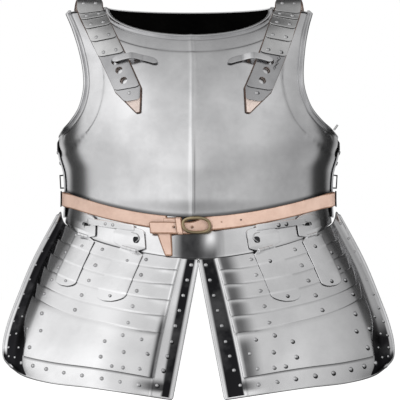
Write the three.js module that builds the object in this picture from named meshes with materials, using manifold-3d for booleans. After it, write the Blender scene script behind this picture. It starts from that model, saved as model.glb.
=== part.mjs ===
// Pikeman's cuirass: breastplate, backplate, strapped shoulders, waist belt, skirt and two hinged tassets.
// Millimetres, +Z up. The front faces -Y, and the origin lies on the shoulder line, between the two straps.
import * as THREE from "three";
import { mergeGeometries, mergeVertices } from "three/addons/utils/BufferGeometryUtils.js";
import Module from "manifold-3d";

const { lerp, smoothstep, clamp } = THREE.MathUtils;

const wasm = await Module();
wasm.setup();

// Torso
const TORSO_DROP = 338; // shoulder line to the breastplate's lower edge at the middle
const ARMPIT_HALF_WIDTH = 226;
const BELLY_DEPTH = 156; // shoulder line forward to the fullest part of the belly
const BACK_DEPTH = 115;
const RIDGE_RISE = 15; // how far the medial ridge stands out of the round belly
const RIDGE_REACH = 150; // how far to each side it spreads
const RIDGE_SHIFT = 9.6; // the ridge stands a little to the wearer's right
const LEAN = 16; // the waist sits this far to the wearer's left of the shoulders
const LEAN_DROP = 216;
const PLATE = 2; // thickness of the steel
const LAP_GAP = 1.35; // between plates that lie on each other
const LAP_LENGTH = 15; // backplate over the breastplate's side edge
const ROLL_RADIUS = 3.4; // rolled edge at the neck and the armholes
const ROLL_TIP = 0.6; // share of that radius left at its lower end, in the armpit
const WAIST_RISE = 38; // side of the lower edge above its middle
const NECK_HALF_WIDTH = 133;
const NECK_DROP = 51.5;
const NECK_HEIGHT = 44;
const BACK_NECK_DROP = 13;
const BACK_NECK_HEIGHT = 9;
const BACK_SIDE_DROP = 340; // shoulder line to the backplate's lower edge
const ROLL_CLEARANCE = 0.06; // how far back its armhole starts behind that roll, as an across value
const BACK_TOP_GAP = 25; // backplate's side below the breastplate's rolled armpit
const BACK_ARMHOLE_FROM = 0.07; // share of the armhole's curve where the backplate's edge joins it
const BACK_TURN_ACROSS = 1.012; // its edge's turning point, as an across value

// Shoulder straps
const STRAP_HALF_WIDTH = 19.5;
const STRAP_TOP_OUT = 163; // middle of the strap from the centre line, at the shoulder
const STRAP_SLANT = 0.44; // how far it comes in for each millimetre down
const STRAP_TILT = 0.17; // how far its inner edge stands above its outer edge, per millimetre across
const STRAP_LENGTH = 172; // shoulder line down to the strap's tip
const STRAP_TAPER_FROM = 137;
const STRAP_TIP_HALF_WIDTH = 2.5;
const STRAP_BACK_LENGTH = 46;
const STRAP_BRIDGE = 9; // height below the shoulder line where the strap leaves the plates
const STRAP_CROWN = 15;
const LEATHER = 2.6;
const SEAT_GAP = 1.5; // between leather or a small plate and the surface it lies on
const SCALE_THICKNESS = 1.3;
const SCALE_LIFT = 2.3; // lower end of a scale above its upper end
const SCALE_OVERLAP = 3;
const SCALE_GAP = 0.65;
const HOLE_RADIUS = 6.2; // holes that the swivel hook can catch
const PEG_RADIUS = 3;

// Waist belt and its fittings
const BELT_WIDTH = 19.5;
const BELT_THICKNESS = 2.6;
const BELT_GAP = 0.8;
const BELT_TAB_WIDTH = 24;
const BELT_END = 1.25; // where each half is riveted to the backplate, as an across value
const LEATHER_GAP = 0.9; // under and between layers of the belt
const RIGHT_BELT_OUT = 44; // from the middle plane to the cut end of the wearer's right half
const TAB_HIGH = -341.5; // the doubled tab that joins it to the buckle
const TAB_LOW = -346.8;
const BUCKLE_HALF_LENGTH = 20.5;
const BUCKLE_HALF_HEIGHT = 12.5;
const BUCKLE_WIRE = 2.1;
const BUCKLE_SHIFT = 4; // its middle from the middle plane, to the wearer's left
const BUCKLE_MIDDLE = -352.5;
const BUCKLE_OUT = BUCKLE_SHIFT + BUCKLE_HALF_LENGTH;
const TONGUE_OUT = 69; // end of the strap that has passed the buckle
const TONGUE_MIDDLE = -356.5;
const TONGUE_WIDTH = 16;
const TIP_TOP_OUT = 50; // the turned-down end of that strap
const TIP_END_OUT = 46;
const TIP_TOP = -358;
const TIP_END = -400;
const TIP_HALF_WIDTH = 4;
const KEEPER_OUT = 23.4;
const KEEPER_HALF_WIDTH = 3.5;
const KEEPER_HALF_HEIGHT = 12.2;
const KEEPER_THICKNESS = 1.6;

// Skirt
const SKIRT_DROP = 65; // breastplate's lower edge to the skirt's lower edge at the middle
const SKIRT_RISE = 57; // side of the skirt's lower edge above its middle
const SKIRT_UNDERLAP = 12;
const SKIRT_FLARE = 2.5; // how far its lower edge stands proud of the tassets' surface
const HOLLOW_HALF_WIDTH = 44; // fluted hollow under the buckle
const HOLLOW_DEPTH = 18;

// Tassets
const TASSET_GAP = 4; // below the skirt's edge
const TASSET_MIDDLE_GAP = 3;
const TASSET_DROP = 219;
const TASSET_SPREAD = 88; // the outer edge at its widest beyond the upper outer corner
const TASSET_KICK = 50; // lower inner corner forward of the upper one
const TASSET_TIP_OUT = 8; // upper outer corner beyond the skirt's end
const TASSET_TIP_RISE = 14;
const TASSET_INNER_SLANT = 42;
const FIELD_RISE = 1.8; // embossed field above the recessed border
const LAME_STEP = 1.2;

// Hinges
const HINGE_RADIUS = 3.1;
const HINGE_PIN_RADIUS = 1.3;
const HINGE_PLAY = 0.35;
const HINGE_RISE = 2.2; // axis above the face of the leaves
const LEAF = 1.5;
const LEAF_GAP = 0.5; // under a leaf
const OUTER_HINGE_OUT = 178; // from the middle plane
const INNER_HINGE_OUT = 106;

// Catch bars, side loops and the stud
const CATCH_INNER_OUT = 97; // ends of the bar, from the middle plane
const CATCH_OUTER_OUT = 171;
const CATCH_INNER_DROP = -357;
const CATCH_OUTER_DROP = -346;
const CATCH_HALF_WIDTH = 4;
const CATCH_THICKNESS = 1.8;
const CATCH_RIVETS = [134, 144];
const LOOP_ACROSS = 1.02;
const LOOP_MIDDLE = -283;
const LOOP_HALF_HEIGHT = 10.5;
const LOOP_OUT = 5.5; // the wire's middle above the backplate
const LOOP_WIRE = 1.1;
const STUD_DROP = -201;
const STUD_LENGTH = 10;
const STUD_RADIUS = 1.7;

const STEEL = { color: 0xc9ccd2, roughness: 0.22, metalness: 1 };
const DARK_STEEL = { color: 0x3a3b3f, roughness: 0.4, metalness: 1 };
const TAN_LEATHER = { color: 0xd6ab92, roughness: 0.6, metalness: 0 };
const BRASS = { color: 0xa8966b, roughness: 0.35, metalness: 1 };

// Sections of the front and the back, as shares: down of TORSO_DROP, wide of ARMPIT_HALF_WIDTH,
// deep of BELLY_DEPTH or BACK_DEPTH, ridge of RIDGE_RISE; square is the superellipse's exponent.
const FRONT = [
  { down: 0.0, wide: 0.945, deep: 0.14, ridge: 0.0, square: 2.3 },
  { down: 0.05, wide: 0.945, deep: 0.27, ridge: 0.0, square: 2.3 },
  { down: 0.15, wide: 0.92, deep: 0.56, ridge: 0.05, square: 2.3 },
  { down: 0.3, wide: 0.905, deep: 0.75, ridge: 0.35, square: 2.3 },
  { down: 0.47, wide: 0.935, deep: 0.88, ridge: 0.6, square: 2.3 },
  { down: 0.64, wide: 1.0, deep: 0.95, ridge: 0.8, square: 2.25 },
  { down: 0.72, wide: 0.984, deep: 0.98, ridge: 0.9, square: 2.2 },
  { down: 0.8, wide: 0.952, deep: 1.0, ridge: 1.0, square: 2.1 },
  { down: 0.91, wide: 0.945, deep: 0.985, ridge: 1.0, square: 2.0 },
  { down: 1.0, wide: 0.95, deep: 0.95, ridge: 0.75, square: 1.9 },
  { down: 1.06, wide: 0.955, deep: 0.99, ridge: 0.4, square: 1.8 },
  { down: 1.2, wide: 0.975, deep: 1.12, ridge: 0.0, square: 1.65 },
  { down: 1.3, wide: 0.985, deep: 1.2, ridge: 0.0, square: 1.65 },
];
const BACK = [
  { down: 0.0, wide: 0.945, deep: 0.2, ridge: 0, square: 2.3 },
  { down: 0.05, wide: 0.945, deep: 0.4, ridge: 0, square: 2.3 },
  { down: 0.15, wide: 0.92, deep: 0.68, ridge: 0, square: 2.3 },
  { down: 0.3, wide: 0.905, deep: 0.88, ridge: 0, square: 2.3 },
  { down: 0.47, wide: 0.935, deep: 0.98, ridge: 0, square: 2.3 },
  { down: 0.64, wide: 1.0, deep: 1.0, ridge: 0, square: 2.25 },
  { down: 0.72, wide: 0.984, deep: 0.96, ridge: 0, square: 2.2 },
  { down: 0.8, wide: 0.952, deep: 0.89, ridge: 0, square: 2.15 },
  { down: 0.91, wide: 0.945, deep: 0.8, ridge: 0, square: 2.1 },
  { down: 1.0, wide: 0.95, deep: 0.86, ridge: 0, square: 2.1 },
  { down: 1.06, wide: 0.955, deep: 0.96, ridge: 0, square: 2.1 },
  { down: 1.3, wide: 0.985, deep: 1.1, ridge: 0, square: 2.1 },
];
// Edge of the armhole from the armpit up to the shoulder, as shares of the same two sizes.
const ARMHOLE = [
  { down: 0.627, wide: 0.998 },
  { down: 0.604, wide: 0.962 },
  { down: 0.556, wide: 0.885 },
  { down: 0.488, wide: 0.812 },
  { down: 0.4, wide: 0.77 },
  { down: 0.314, wide: 0.765 },
  { down: 0.207, wide: 0.787 },
  { down: 0.109, wide: 0.822 },
  { down: 0.036, wide: 0.86 },
];
// Lower ends of the seven scales on each strap, as shares of STRAP_LENGTH.
const SCALE_ENDS = [0.085, 0.138, 0.221, 0.335, 0.47, 0.785, 0.895];
const SCALE_NAMES = ["first", "second", "third", "fourth", "fifth", "pierced", "end"];
const STRAP_HOLES = [0.535, 0.62, 0.715];
// Outer edge of a tasset from the upper outer corner down.
// Columns: out in TASSET_SPREADs; fore and down in TASSET_DROPs.
const TASSET_OUTER = [
  { out: 0, fore: 0, down: 0 },
  { out: 0.47, fore: 0.17, down: 0.357 },
  { out: 0.72, fore: 0.28, down: 0.6 },
  { out: 0.92, fore: 0.37, down: 0.82 },
  { out: 1.0, fore: 0.43, down: 0.968 },
  { out: 0.99, fore: 0.46, down: 1.06 },
  { out: 0.88, fore: 0.5, down: 1.12 },
];
// Lower edge from the inner corner out: along is the share of the way to the outer corner,
// bow is how far forward of the straight line, sag how far below it, as shares of TASSET_DROP.
const TASSET_LOWER = [
  { along: 0, bow: 0, sag: 0 },
  { along: 0.25, bow: 0.17, sag: 0.01 },
  { along: 0.5, bow: 0.23, sag: 0.025 },
  { along: 0.75, bow: 0.19, sag: 0.05 },
  { along: 0.92, bow: 0.08, sag: 0.04 },
  { along: 1, bow: 0, sag: 0 },
];
const LAME_LINES = [0.115, 0.225, 0.33, 0.44, 0.56];
const BORDER_SIDE = 0.12; // recessed border, as a share of the tasset's width
const BORDER_LOWER = 0.872; // where the lower border begins, as a share of its height

// A smooth curve through one column of a table.
function column(rows, key, by, at) {
  const last = rows.length - 1;
  let i = 0;
  while (i < last - 1 && at > rows[i + 1][by]) i++;
  const slope = (k) => {
    const a = rows[Math.max(0, k - 1)];
    const b = rows[Math.min(last, k + 1)];
    return (b[key] - a[key]) / (b[by] - a[by]);
  };
  const span = rows[i + 1][by] - rows[i][by];
  const s = clamp((at - rows[i][by]) / span, 0, 1);
  const h00 = (1 + 2 * s) * (1 - s) ** 2;
  const h10 = s * (1 - s) ** 2;
  const h01 = s * s * (3 - 2 * s);
  const h11 = s * s * (s - 1);
  return h00 * rows[i][key] + h10 * span * slope(i) + h01 * rows[i + 1][key] + h11 * span * slope(i + 1);
}

function section(rows, z) {
  const down = -z / TORSO_DROP;
  return {
    wide: ARMPIT_HALF_WIDTH * column(rows, "wide", "down", down),
    deep: (rows === FRONT ? BELLY_DEPTH : BACK_DEPTH) * column(rows, "deep", "down", down),
    ridge: RIDGE_RISE * column(rows, "ridge", "down", down),
    square: column(rows, "square", "down", down),
  };
}

// How far sideways a point is carried from the mirror-true shape.
function sway(share, z) {
  const lean = LEAN * Math.min(1, -z / LEAN_DROP);
  const fade = clamp((-z - TORSO_DROP) / SKIRT_DROP, 0, 1);
  const ridge = Math.min(lean, (LEAN - RIDGE_SHIFT) * (1 - fade) + LEAN * fade);
  return lean + (ridge - lean) * Math.max(0, 1 - share * share);
}

// The torso's surface: across is 0 at the front middle, 1 at the side and 2 at the back middle.
function torso(turned, z) {
  const across = turned - 4 * Math.round(turned / 4);
  const front = Math.abs(across) <= 1;
  const angle = (Math.PI / 2) * (front ? Math.abs(across) : 2 - Math.abs(across));
  const { wide, deep, ridge, square } = section(front ? FRONT : BACK, z);
  const share = Math.sin(angle) ** (2 / square);
  const x = Math.sign(across) * wide * share;
  const reach = 1 - Math.min(1, Math.abs(x) / RIDGE_REACH);
  const y = deep * Math.max(0, Math.cos(angle)) ** (2 / square) + (front ? ridge * reach * reach : 0);
  return new THREE.Vector3(x + sway(share, z), front ? -y : y, z);
}

// The across value of a point given by its distance from the middle plane, on the front or the back.
function acrossOf(x, z, rows = FRONT) {
  const { wide, square } = section(rows, z);
  const share = clamp(Math.abs(x) / wide, 0, 1);
  const turn = Math.asin(share ** (square / 2)) / (Math.PI / 2);
  return Math.sign(x) * (rows === FRONT ? turn : 2 - turn);
}

// Normal of a surface f(u, v) by differences; sense is 1 or -1 so that it points away from the body.
function normalOf(f, u, v, du, dv) {
  const pu = f(u + du, v).sub(f(u - du, v));
  const pv = f(u, v + dv).sub(f(u, v - dv));
  return pu.cross(pv).normalize();
}

function onTorso(across, z, height = 0) {
  const n = normalOf(torso, across, z, 0.004, 0.5);
  return torso(across, z).addScaledVector(n, height);
}

const lowerEdge = (across) => {
  const share = Math.max(0, Math.cos((Math.PI / 2) * Math.min(1, Math.abs(across))));
  return -TORSO_DROP + WAIST_RISE * (1 - share ** 2.2);
};
const skirtEdge = (across) => {
  const share = Math.max(0, Math.cos((Math.PI / 2) * Math.min(1, Math.abs(across))));
  return -TORSO_DROP - SKIRT_DROP + SKIRT_RISE * (1 - share ** 1.6);
};

// A grid of quads over rows of u and v values; flip turns its faces round.
function grid(us, vs, f, flip = false) {
  const positions = [];
  const index = [];
  for (const v of vs) for (const u of us) positions.push(...f(u, v).toArray());
  for (let i = 0; i + 1 < vs.length; i++) {
    for (let j = 0; j + 1 < us.length; j++) {
      const a = i * us.length + j;
      const b = a + 1;
      const c = a + us.length;
      const d = c + 1;
      index.push(...(flip ? [a, c, b, b, c, d] : [a, b, c, b, d, c]));
    }
  }
  const geometry = new THREE.BufferGeometry();
  geometry.setAttribute("position", new THREE.Float32BufferAttribute(positions, 3));
  geometry.setIndex(index);
  return geometry;
}

const steps = (n, from = 0, to = 1) =>
  Array.from({ length: n + 1 }, (_, i) => from + ((to - from) * i) / n);

// A closed plate from open surfaces that meet edge to edge. roll(point) is the radius of the rolled
// edge there, or 0 for a plain edge; the roll stands out on the outer face.
function plate(surfaces, thickness, roll = null) {
  const open = mergeVertices(mergeGeometries(surfaces), 1e-3);
  const index = [...open.index.array];
  for (let i = index.length - 3; i >= 0; i -= 3) {
    const [a, b, c] = index.slice(i, i + 3);
    if (a === b || b === c || c === a) index.splice(i, 3);
  }
  open.setIndex(index);
  open.computeVertexNormals();
  const at = (i) => new THREE.Vector3().fromBufferAttribute(open.attributes.position, i);
  const normal = (i) => new THREE.Vector3().fromBufferAttribute(open.attributes.normal, i);
  const count = open.attributes.position.count;
  const directed = new Set();
  for (let i = 0; i < index.length; i += 3)
    for (let k = 0; k < 3; k++) directed.add(index[i + k] + "," + index[i + ((k + 1) % 3)]);
  const next = new Map();
  const previous = new Map();
  for (const edge of directed) {
    const [a, b] = edge.split(",").map(Number);
    if (directed.has(b + "," + a)) continue;
    next.set(a, b);
    previous.set(b, a);
  }
  const positions = [];
  const faces = [];
  for (let i = 0; i < count; i++) positions.push(...at(i).toArray());
  for (let i = 0; i < count; i++) positions.push(...at(i).addScaledVector(normal(i), -thickness).toArray());
  for (let i = 0; i < index.length; i += 3) {
    const [a, b, c] = index.slice(i, i + 3);
    faces.push(a, b, c, count + a, count + c, count + b);
  }
  const turns = roll ? [105, 40, -30, -95] : [];
  const rings = new Map();
  for (const a of next.keys()) {
    const n = normal(a);
    const along = at(next.get(a)).sub(at(previous.get(a)));
    const out = along.cross(n).normalize();
    const radius = roll ? Math.max(roll(at(a)), thickness / 2) : 0;
    const centre = at(a).addScaledVector(out, radius * 0.5).addScaledVector(n, radius - thickness);
    const ring = [a];
    for (const turn of turns) {
      const angle = THREE.MathUtils.degToRad(turn);
      const p = centre.clone();
      p.addScaledVector(out, radius * Math.cos(angle)).addScaledVector(n, radius * Math.sin(angle));
      ring.push(positions.length / 3);
      positions.push(...p.toArray());
    }
    ring.push(count + a);
    rings.set(a, ring);
  }
  for (const [a, b] of next) {
    const ra = rings.get(a);
    const rb = rings.get(b);
    for (let k = 0; k + 1 < ra.length; k++) faces.push(ra[k], ra[k + 1], rb[k], rb[k], ra[k + 1], rb[k + 1]);
  }
  const geometry = new THREE.BufferGeometry();
  geometry.setAttribute("position", new THREE.Float32BufferAttribute(positions, 3));
  geometry.setIndex(faces);
  return geometry;
}

function solid(geometry) {
  const clean = geometry.clone();
  clean.deleteAttribute("normal");
  clean.deleteAttribute("uv");
  const merged = mergeVertices(clean, 1e-4);
  return new wasm.Manifold(
    new wasm.Mesh({
      numProp: 3,
      vertProperties: merged.attributes.position.array,
      triVerts: new Uint32Array(merged.index.array),
    }),
  );
}

function geometryOf(made) {
  const mesh = made.getMesh();
  const positions = new Float32Array(mesh.numVert * 3);
  for (let i = 0; i < mesh.numVert; i++)
    positions.set(mesh.vertProperties.subarray(i * mesh.numProp, i * mesh.numProp + 3), i * 3);
  const geometry = new THREE.BufferGeometry();
  geometry.setAttribute("position", new THREE.BufferAttribute(positions, 3));
  geometry.setIndex(new THREE.BufferAttribute(mesh.triVerts, 1));
  return geometry;
}

// A round bar between two points.
function bar(from, to, radius, sides = 10) {
  const along = to.clone().sub(from);
  const geometry = new THREE.CylinderGeometry(radius, radius, along.length(), sides);
  const turn = new THREE.Quaternion().setFromUnitVectors(new THREE.Vector3(0, 1, 0), along.clone().normalize());
  geometry.applyQuaternion(turn);
  geometry.translate(...from.clone().add(to).multiplyScalar(0.5).toArray());
  return geometry;
}

const group = new THREE.Group();
function add(name, geometry, look) {
  const mesh = new THREE.Mesh(geometry, new THREE.MeshStandardMaterial(look));
  mesh.name = name;
  geometry.computeVertexNormals();
  group.add(mesh);
  return mesh;
}

const armhole = new THREE.SplineCurve(
  ARMHOLE.map(({ down, wide }) => new THREE.Vector2(wide * ARMPIT_HALF_WIDTH, -down * TORSO_DROP)),
);

function neckPoint(share, drop, height) {
  const angle = (share * Math.PI) / 2;
  return { x: NECK_HALF_WIDTH * Math.sin(angle), z: -drop + height * (1 - Math.cos(angle)) };
}

const NECK_FROM = 2 / 3 + 1e-6; // share of the rows where the middle ends and the neck begins
const ARM_FROM = 1 / 3 + 1e-6; // share of the rows where the side ends and the armhole begins

function breastplate() {
  const armpit = armhole.getPoint(0);
  const half = (side) => {
    const inner = (v) => {
      if (v <= NECK_FROM) return { across: 0, z: lerp(-TORSO_DROP, -NECK_DROP, v / NECK_FROM) };
      const p = neckPoint((v - NECK_FROM) / (1 - NECK_FROM), NECK_DROP, NECK_HEIGHT);
      return { across: side * acrossOf(p.x, p.z), z: p.z };
    };
    const outer = (v) => {
      if (v <= ARM_FROM) return { across: side, z: lerp(lowerEdge(1), armpit.y, v / ARM_FROM) };
      const p = armhole.getPoint((v - ARM_FROM) / (1 - ARM_FROM));
      return { across: side * acrossOf(p.x, p.y), z: p.y };
    };
    const at = (u, v) => {
      const a = inner(v);
      const b = outer(v);
      const across = lerp(a.across, b.across, u);
      const straight = lerp(a.z, b.z, u);
      const z = lerp(lowerEdge(across), straight, Math.min(1, v / ARM_FROM));
      return onTorso(across, z);
    };
    return grid(steps(9), steps(15), at, side < 0);
  };
  const roll = (p) => {
    const x = Math.abs(p.x - sway(1, p.z));
    const shoulder = -ARMHOLE.at(-1).down * TORSO_DROP - 1;
    const top = p.z > shoulder && x > NECK_HALF_WIDTH + 4 && x < armhole.getPoint(1).x - 4;
    if (top || p.z < armpit.y - 1) return 0;
    return p.z < armpit.y + 1 ? ROLL_RADIUS * ROLL_TIP : ROLL_RADIUS;
  };
  add("breastplate", plate([half(1), half(-1)], PLATE, roll), STEEL);
}

function backplate() {
  const height = PLATE + LAP_GAP;
  const { deep, square } = section(FRONT, -TORSO_DROP * 0.8);
  const lap = Math.asin((LAP_LENGTH / deep) ** (square / 2)) / (Math.PI / 2);
  const top = armhole.getPoint(0).y - BACK_TOP_GAP;
  const turn = 0.02; // share of the rows in which the side edge turns back into the armhole
  const armholeStart = armhole.getPoint(BACK_ARMHOLE_FROM).y;
  const half = (side) => {
    const inner = (v) => {
      if (v <= NECK_FROM) return { across: 2, z: lerp(-BACK_SIDE_DROP, -BACK_NECK_DROP, v / NECK_FROM) };
      const p = neckPoint((v - NECK_FROM) / (1 - NECK_FROM), BACK_NECK_DROP, BACK_NECK_HEIGHT);
      return { across: acrossOf(p.x, p.z, BACK), z: p.z };
    };
    const outer = (v) => {
      if (v <= ARM_FROM) return { across: 1 - lap, z: lerp(-BACK_SIDE_DROP, top, v / ARM_FROM) };
      if (v < ARM_FROM + turn) return { across: BACK_TURN_ACROSS, z: (top + armholeStart) / 2 };
      const s = (v - ARM_FROM) / (1 - ARM_FROM);
      const p = armhole.getPoint(lerp(BACK_ARMHOLE_FROM, 1, s));
      return { across: acrossOf(p.x, p.y, BACK) + ROLL_CLEARANCE * (1 - s) ** 4, z: p.y };
    };
    const bend = 8 / 9; // the column that runs down the side, where the plate turns to the front
    const at = (u, v) => {
      const a = inner(v);
      const b = outer(v);
      const corner = b.across < 1 ? 1 : b.across + 0.03;
      const across =
        u < bend
          ? lerp(a.across, corner, u / bend)
          : lerp(corner, b.across, (u - bend) / (1 - bend));
      return onTorso(side * across, lerp(a.z, b.z, u), height);
    };
    const rows = [...steps(5, 0, ARM_FROM), ARM_FROM + turn / 2, ...steps(10, ARM_FROM, 1).slice(1)];
    return grid(steps(9), rows, at, side > 0);
  };
  add("backplate", plate([half(1), half(-1)], PLATE), STEEL);
}

// How far the skirt's outer face stands above the torso's surface: tucked under the breastplate
// at its top, flush with the tassets at its lower edge, and fluted inwards under the buckle.
function skirtHeight(across, z) {
  const drop = clamp((lowerEdge(across) - z) / (lowerEdge(across) - skirtEdge(across)), 0, 1);
  const tucked = -(PLATE + LAP_GAP);
  const flare = SKIRT_FLARE * (1 - smoothstep(Math.abs(across), 0.72, 0.9));
  return lerp(tucked, flare, drop ** 1.5);
}

function hollow(x, z) {
  const share = Math.abs(x) / HOLLOW_HALF_WIDTH;
  if (share >= 1) return 0;
  const drop = clamp((-z - TORSO_DROP) / SKIRT_DROP, 0, 1);
  return HOLLOW_DEPTH * Math.cos((share * Math.PI) / 2) ** 2 * Math.sin((drop * Math.PI) / 2);
}

function onSkirt(across, z, height = 0) {
  const p = onTorso(across, z, skirtHeight(across, z) + height);
  p.y += hollow(p.x - LEAN, z);
  return p;
}

const skirtEnd = () => acrossOf(0.955 * ARMPIT_HALF_WIDTH, -TORSO_DROP - SKIRT_DROP + SKIRT_RISE) * 0.975;

function skirt() {
  const end = skirtEnd();
  const middle = acrossOf(HOLLOW_HALF_WIDTH, -TORSO_DROP - SKIRT_DROP);
  const half = [...steps(4, 0, middle), ...steps(8, middle, end).slice(1)];
  const us = [...half.slice(1).map((a) => -a).reverse(), ...half];
  const at = (u, v) => {
    const z = lerp(lowerEdge(u) + SKIRT_UNDERLAP, skirtEdge(u), v);
    return onSkirt(u, z);
  };
  add("skirt", plate([grid(us, steps(6), at, true)], PLATE), STEEL);
}

// The strap's own surface: q runs down the front from the shoulder line and is negative behind it,
// side is 1 or -1, cross runs from -1 at the outer edge to 1 at the inner edge.
function strapPlace(side, q, offset) {
  const out = STRAP_TOP_OUT - (q > 0 ? STRAP_SLANT * q : 0) - offset;
  const tilt = clamp((q - STRAP_BRIDGE) / STRAP_BRIDGE, 0, 1) * STRAP_TILT * offset;
  return { x: side * out, z: -Math.abs(q) + tilt };
}

function strapBase(side, q, offset) {
  const face = (rows, down) => {
    const { x, z } = strapPlace(side, down, offset);
    return torso(acrossOf(x, z, rows), z);
  };
  if (q >= STRAP_BRIDGE) return face(FRONT, q);
  if (q <= -STRAP_BRIDGE) return face(BACK, q);
  const a = face(FRONT, STRAP_BRIDGE);
  const b = face(BACK, -STRAP_BRIDGE);
  const s = 0.5 - (0.5 * q) / STRAP_BRIDGE;
  const crown = a.clone().lerp(b, 0.5);
  crown.z = STRAP_CROWN;
  return a.multiplyScalar((1 - s) ** 2).addScaledVector(crown, 2 * s * (1 - s)).addScaledVector(b, s * s);
}

const strapHalfWidth = (q) =>
  q < STRAP_TAPER_FROM
    ? STRAP_HALF_WIDTH
    : THREE.MathUtils.mapLinear(q, STRAP_TAPER_FROM, STRAP_LENGTH, STRAP_HALF_WIDTH, STRAP_TIP_HALF_WIDTH);

function onStrap(side, q, cross, height) {
  const offset = cross * strapHalfWidth(q);
  const behind = clamp(0.5 - (0.5 * q) / STRAP_BRIDGE, 0, 1);
  const f = (a, b) => strapBase(side, b, a);
  const n = normalOf(f, offset, q, 0.5, 0.5).multiplyScalar(side);
  const seat = SEAT_GAP + behind * (PLATE + LAP_GAP);
  return strapBase(side, q, offset).addScaledVector(n, seat + height);
}

function drill(side, q, radius, cross = 0, sides = 8) {
  return bar(onStrap(side, q, cross, -1), onStrap(side, q, cross, 14), radius, sides);
}

function strap(side, name) {
  const holes = STRAP_HOLES.map((share) => share * STRAP_LENGTH);
  const qs = [
    ...steps(3, -STRAP_BACK_LENGTH, -STRAP_BRIDGE),
    ...steps(4, -STRAP_BRIDGE, STRAP_BRIDGE).slice(1),
    ...steps(7, STRAP_BRIDGE, STRAP_TAPER_FROM).slice(1),
    ...steps(3, STRAP_TAPER_FROM, STRAP_LENGTH).slice(1),
  ];
  const surface = grid([-1, 0, 1], qs, (u, v) => onStrap(side, v, u, LEATHER), side < 0);
  let leather = solid(plate([surface], LEATHER));
  for (const q of holes) leather = leather.subtract(solid(drill(side, q, HOLE_RADIUS + 0.6)));
  add("strap_leather_" + name, geometryOf(leather), TAN_LEATHER);
  let from = -STRAP_BACK_LENGTH + 4;
  SCALE_ENDS.forEach((share, i) => {
    const to = share * STRAP_LENGTH;
    const start = i === 0 ? from : from - SCALE_OVERLAP;
    const lift = (q) => SCALE_GAP + (SCALE_LIFT * (q - start)) / (to - start);
    const at = (u, v) => onStrap(side, v, u, LEATHER + lift(v) + SCALE_THICKNESS);
    const rows = i === 0 ? steps(8, start, to) : steps(i === 5 ? 4 : 2, start, to);
    let scale = plate([grid([-0.98, 0, 0.98], rows, at, side < 0)], SCALE_THICKNESS);
    if (SCALE_NAMES[i] === "pierced") {
      let cut = solid(scale);
      for (const q of holes) cut = cut.subtract(solid(drill(side, q, HOLE_RADIUS)));
      scale = geometryOf(cut);
    }
    add("strap_scale_" + name + "_" + SCALE_NAMES[i], scale, STEEL);
    from = to;
  });
}

// Swivel hook: riveted to the chest at its inner end, over the strap's edge, its peg in the first hole.
const HOOK_HALF_WIDTH = 3.6;
const HOOK_THICKNESS = 2;
const HOOK_INNER_OUT = 57; // inner end, from the middle plane

function swivelHook(side, name) {
  const hole = STRAP_HOLES[0] * STRAP_LENGTH;
  const end = strapPlace(side, hole, 0);
  const edge = STRAP_TOP_OUT - STRAP_SLANT * hole - STRAP_HALF_WIDTH;
  const over = SEAT_GAP + LEATHER + SCALE_GAP + SCALE_LIFT + SCALE_THICKNESS + 0.8;
  const outer = Math.abs(end.x) + 1;
  const height = (out) => {
    const rise = smoothstep(out, edge - 26, edge - 5);
    return lerp(0.5, over, rise) + HOOK_THICKNESS;
  };
  const middle = (out) => {
    const s = THREE.MathUtils.inverseLerp(HOOK_INNER_OUT, outer, out);
    return end.z + 7 * Math.sin(Math.PI * s);
  };
  const at = (v, u) => {
    const taper = Math.min(1, 0.45 + Math.min(u - HOOK_INNER_OUT, outer - u) / 9);
    const z = middle(u) + v * HOOK_HALF_WIDTH * taper;
    return onTorso(acrossOf(side * u, z), z, height(u));
  };
  const surface = grid([-1, 1], steps(7, HOOK_INNER_OUT, outer), at, side > 0);
  const pegAcross = acrossOf(end.x - side * 2, end.z);
  const pegTop = onTorso(pegAcross, end.z, over + HOOK_THICKNESS);
  const peg = bar(onTorso(pegAcross, end.z, 1.2), pegTop, PEG_RADIUS, 8);
  const pivotOut = HOOK_INNER_OUT + 7;
  const pivot = acrossOf(side * pivotOut, middle(pivotOut));
  const head = bar(onTorso(pivot, middle(pivotOut), 0.4), onTorso(pivot, middle(pivotOut), 4.4), 3.4, 8);
  const made = solid(plate([surface], HOOK_THICKNESS)).add(solid(peg)).add(solid(head));
  add("swivel_hook_" + name, geometryOf(made), STEEL);
}

// Belt: its middle runs just under the breastplate's lower edge and climbs onto the backplate at the sides.
const beltMiddle = (across) => lowerEdge(across) - BELT_WIDTH / 2 - 1.5;

// Underside of the belt above the torso's surface; up is 1 at its upper edge and -1 at its lower edge.
function beltSeat(across, up = 0) {
  const out = Math.min(1, Math.abs(across));
  const front = skirtHeight(out, beltMiddle(out) + (up * BELT_WIDTH) / 2);
  const back = PLATE + LAP_GAP;
  return lerp(front, back, smoothstep(Math.abs(across), 0.74, 0.88)) + BELT_GAP;
}

// A point on the belt's line: up from -1 to 1 across its width, height above its underside.
function onBelt(across, up, height = 0, lower = 0) {
  const z = beltMiddle(across) - lower + (up * BELT_WIDTH) / 2;
  return onTorso(across, z, beltSeat(across, up) + height);
}

// The same by millimetres: out from the middle plane, z, height above the skirt's outer face.
function onSkirtAt(out, z, height) {
  return onSkirt(acrossOf(out, z), z, height);
}

// A tube of round wire along a closed or an open run of points.
function wire(points, radius, closed, along, sides) {
  const path = new THREE.CatmullRomCurve3(points, closed);
  return new THREE.TubeGeometry(path, along, radius, sides, closed);
}

const beltOver = BELT_THICKNESS + LEATHER_GAP * 2 + 0.2; // underside of a second layer

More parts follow.
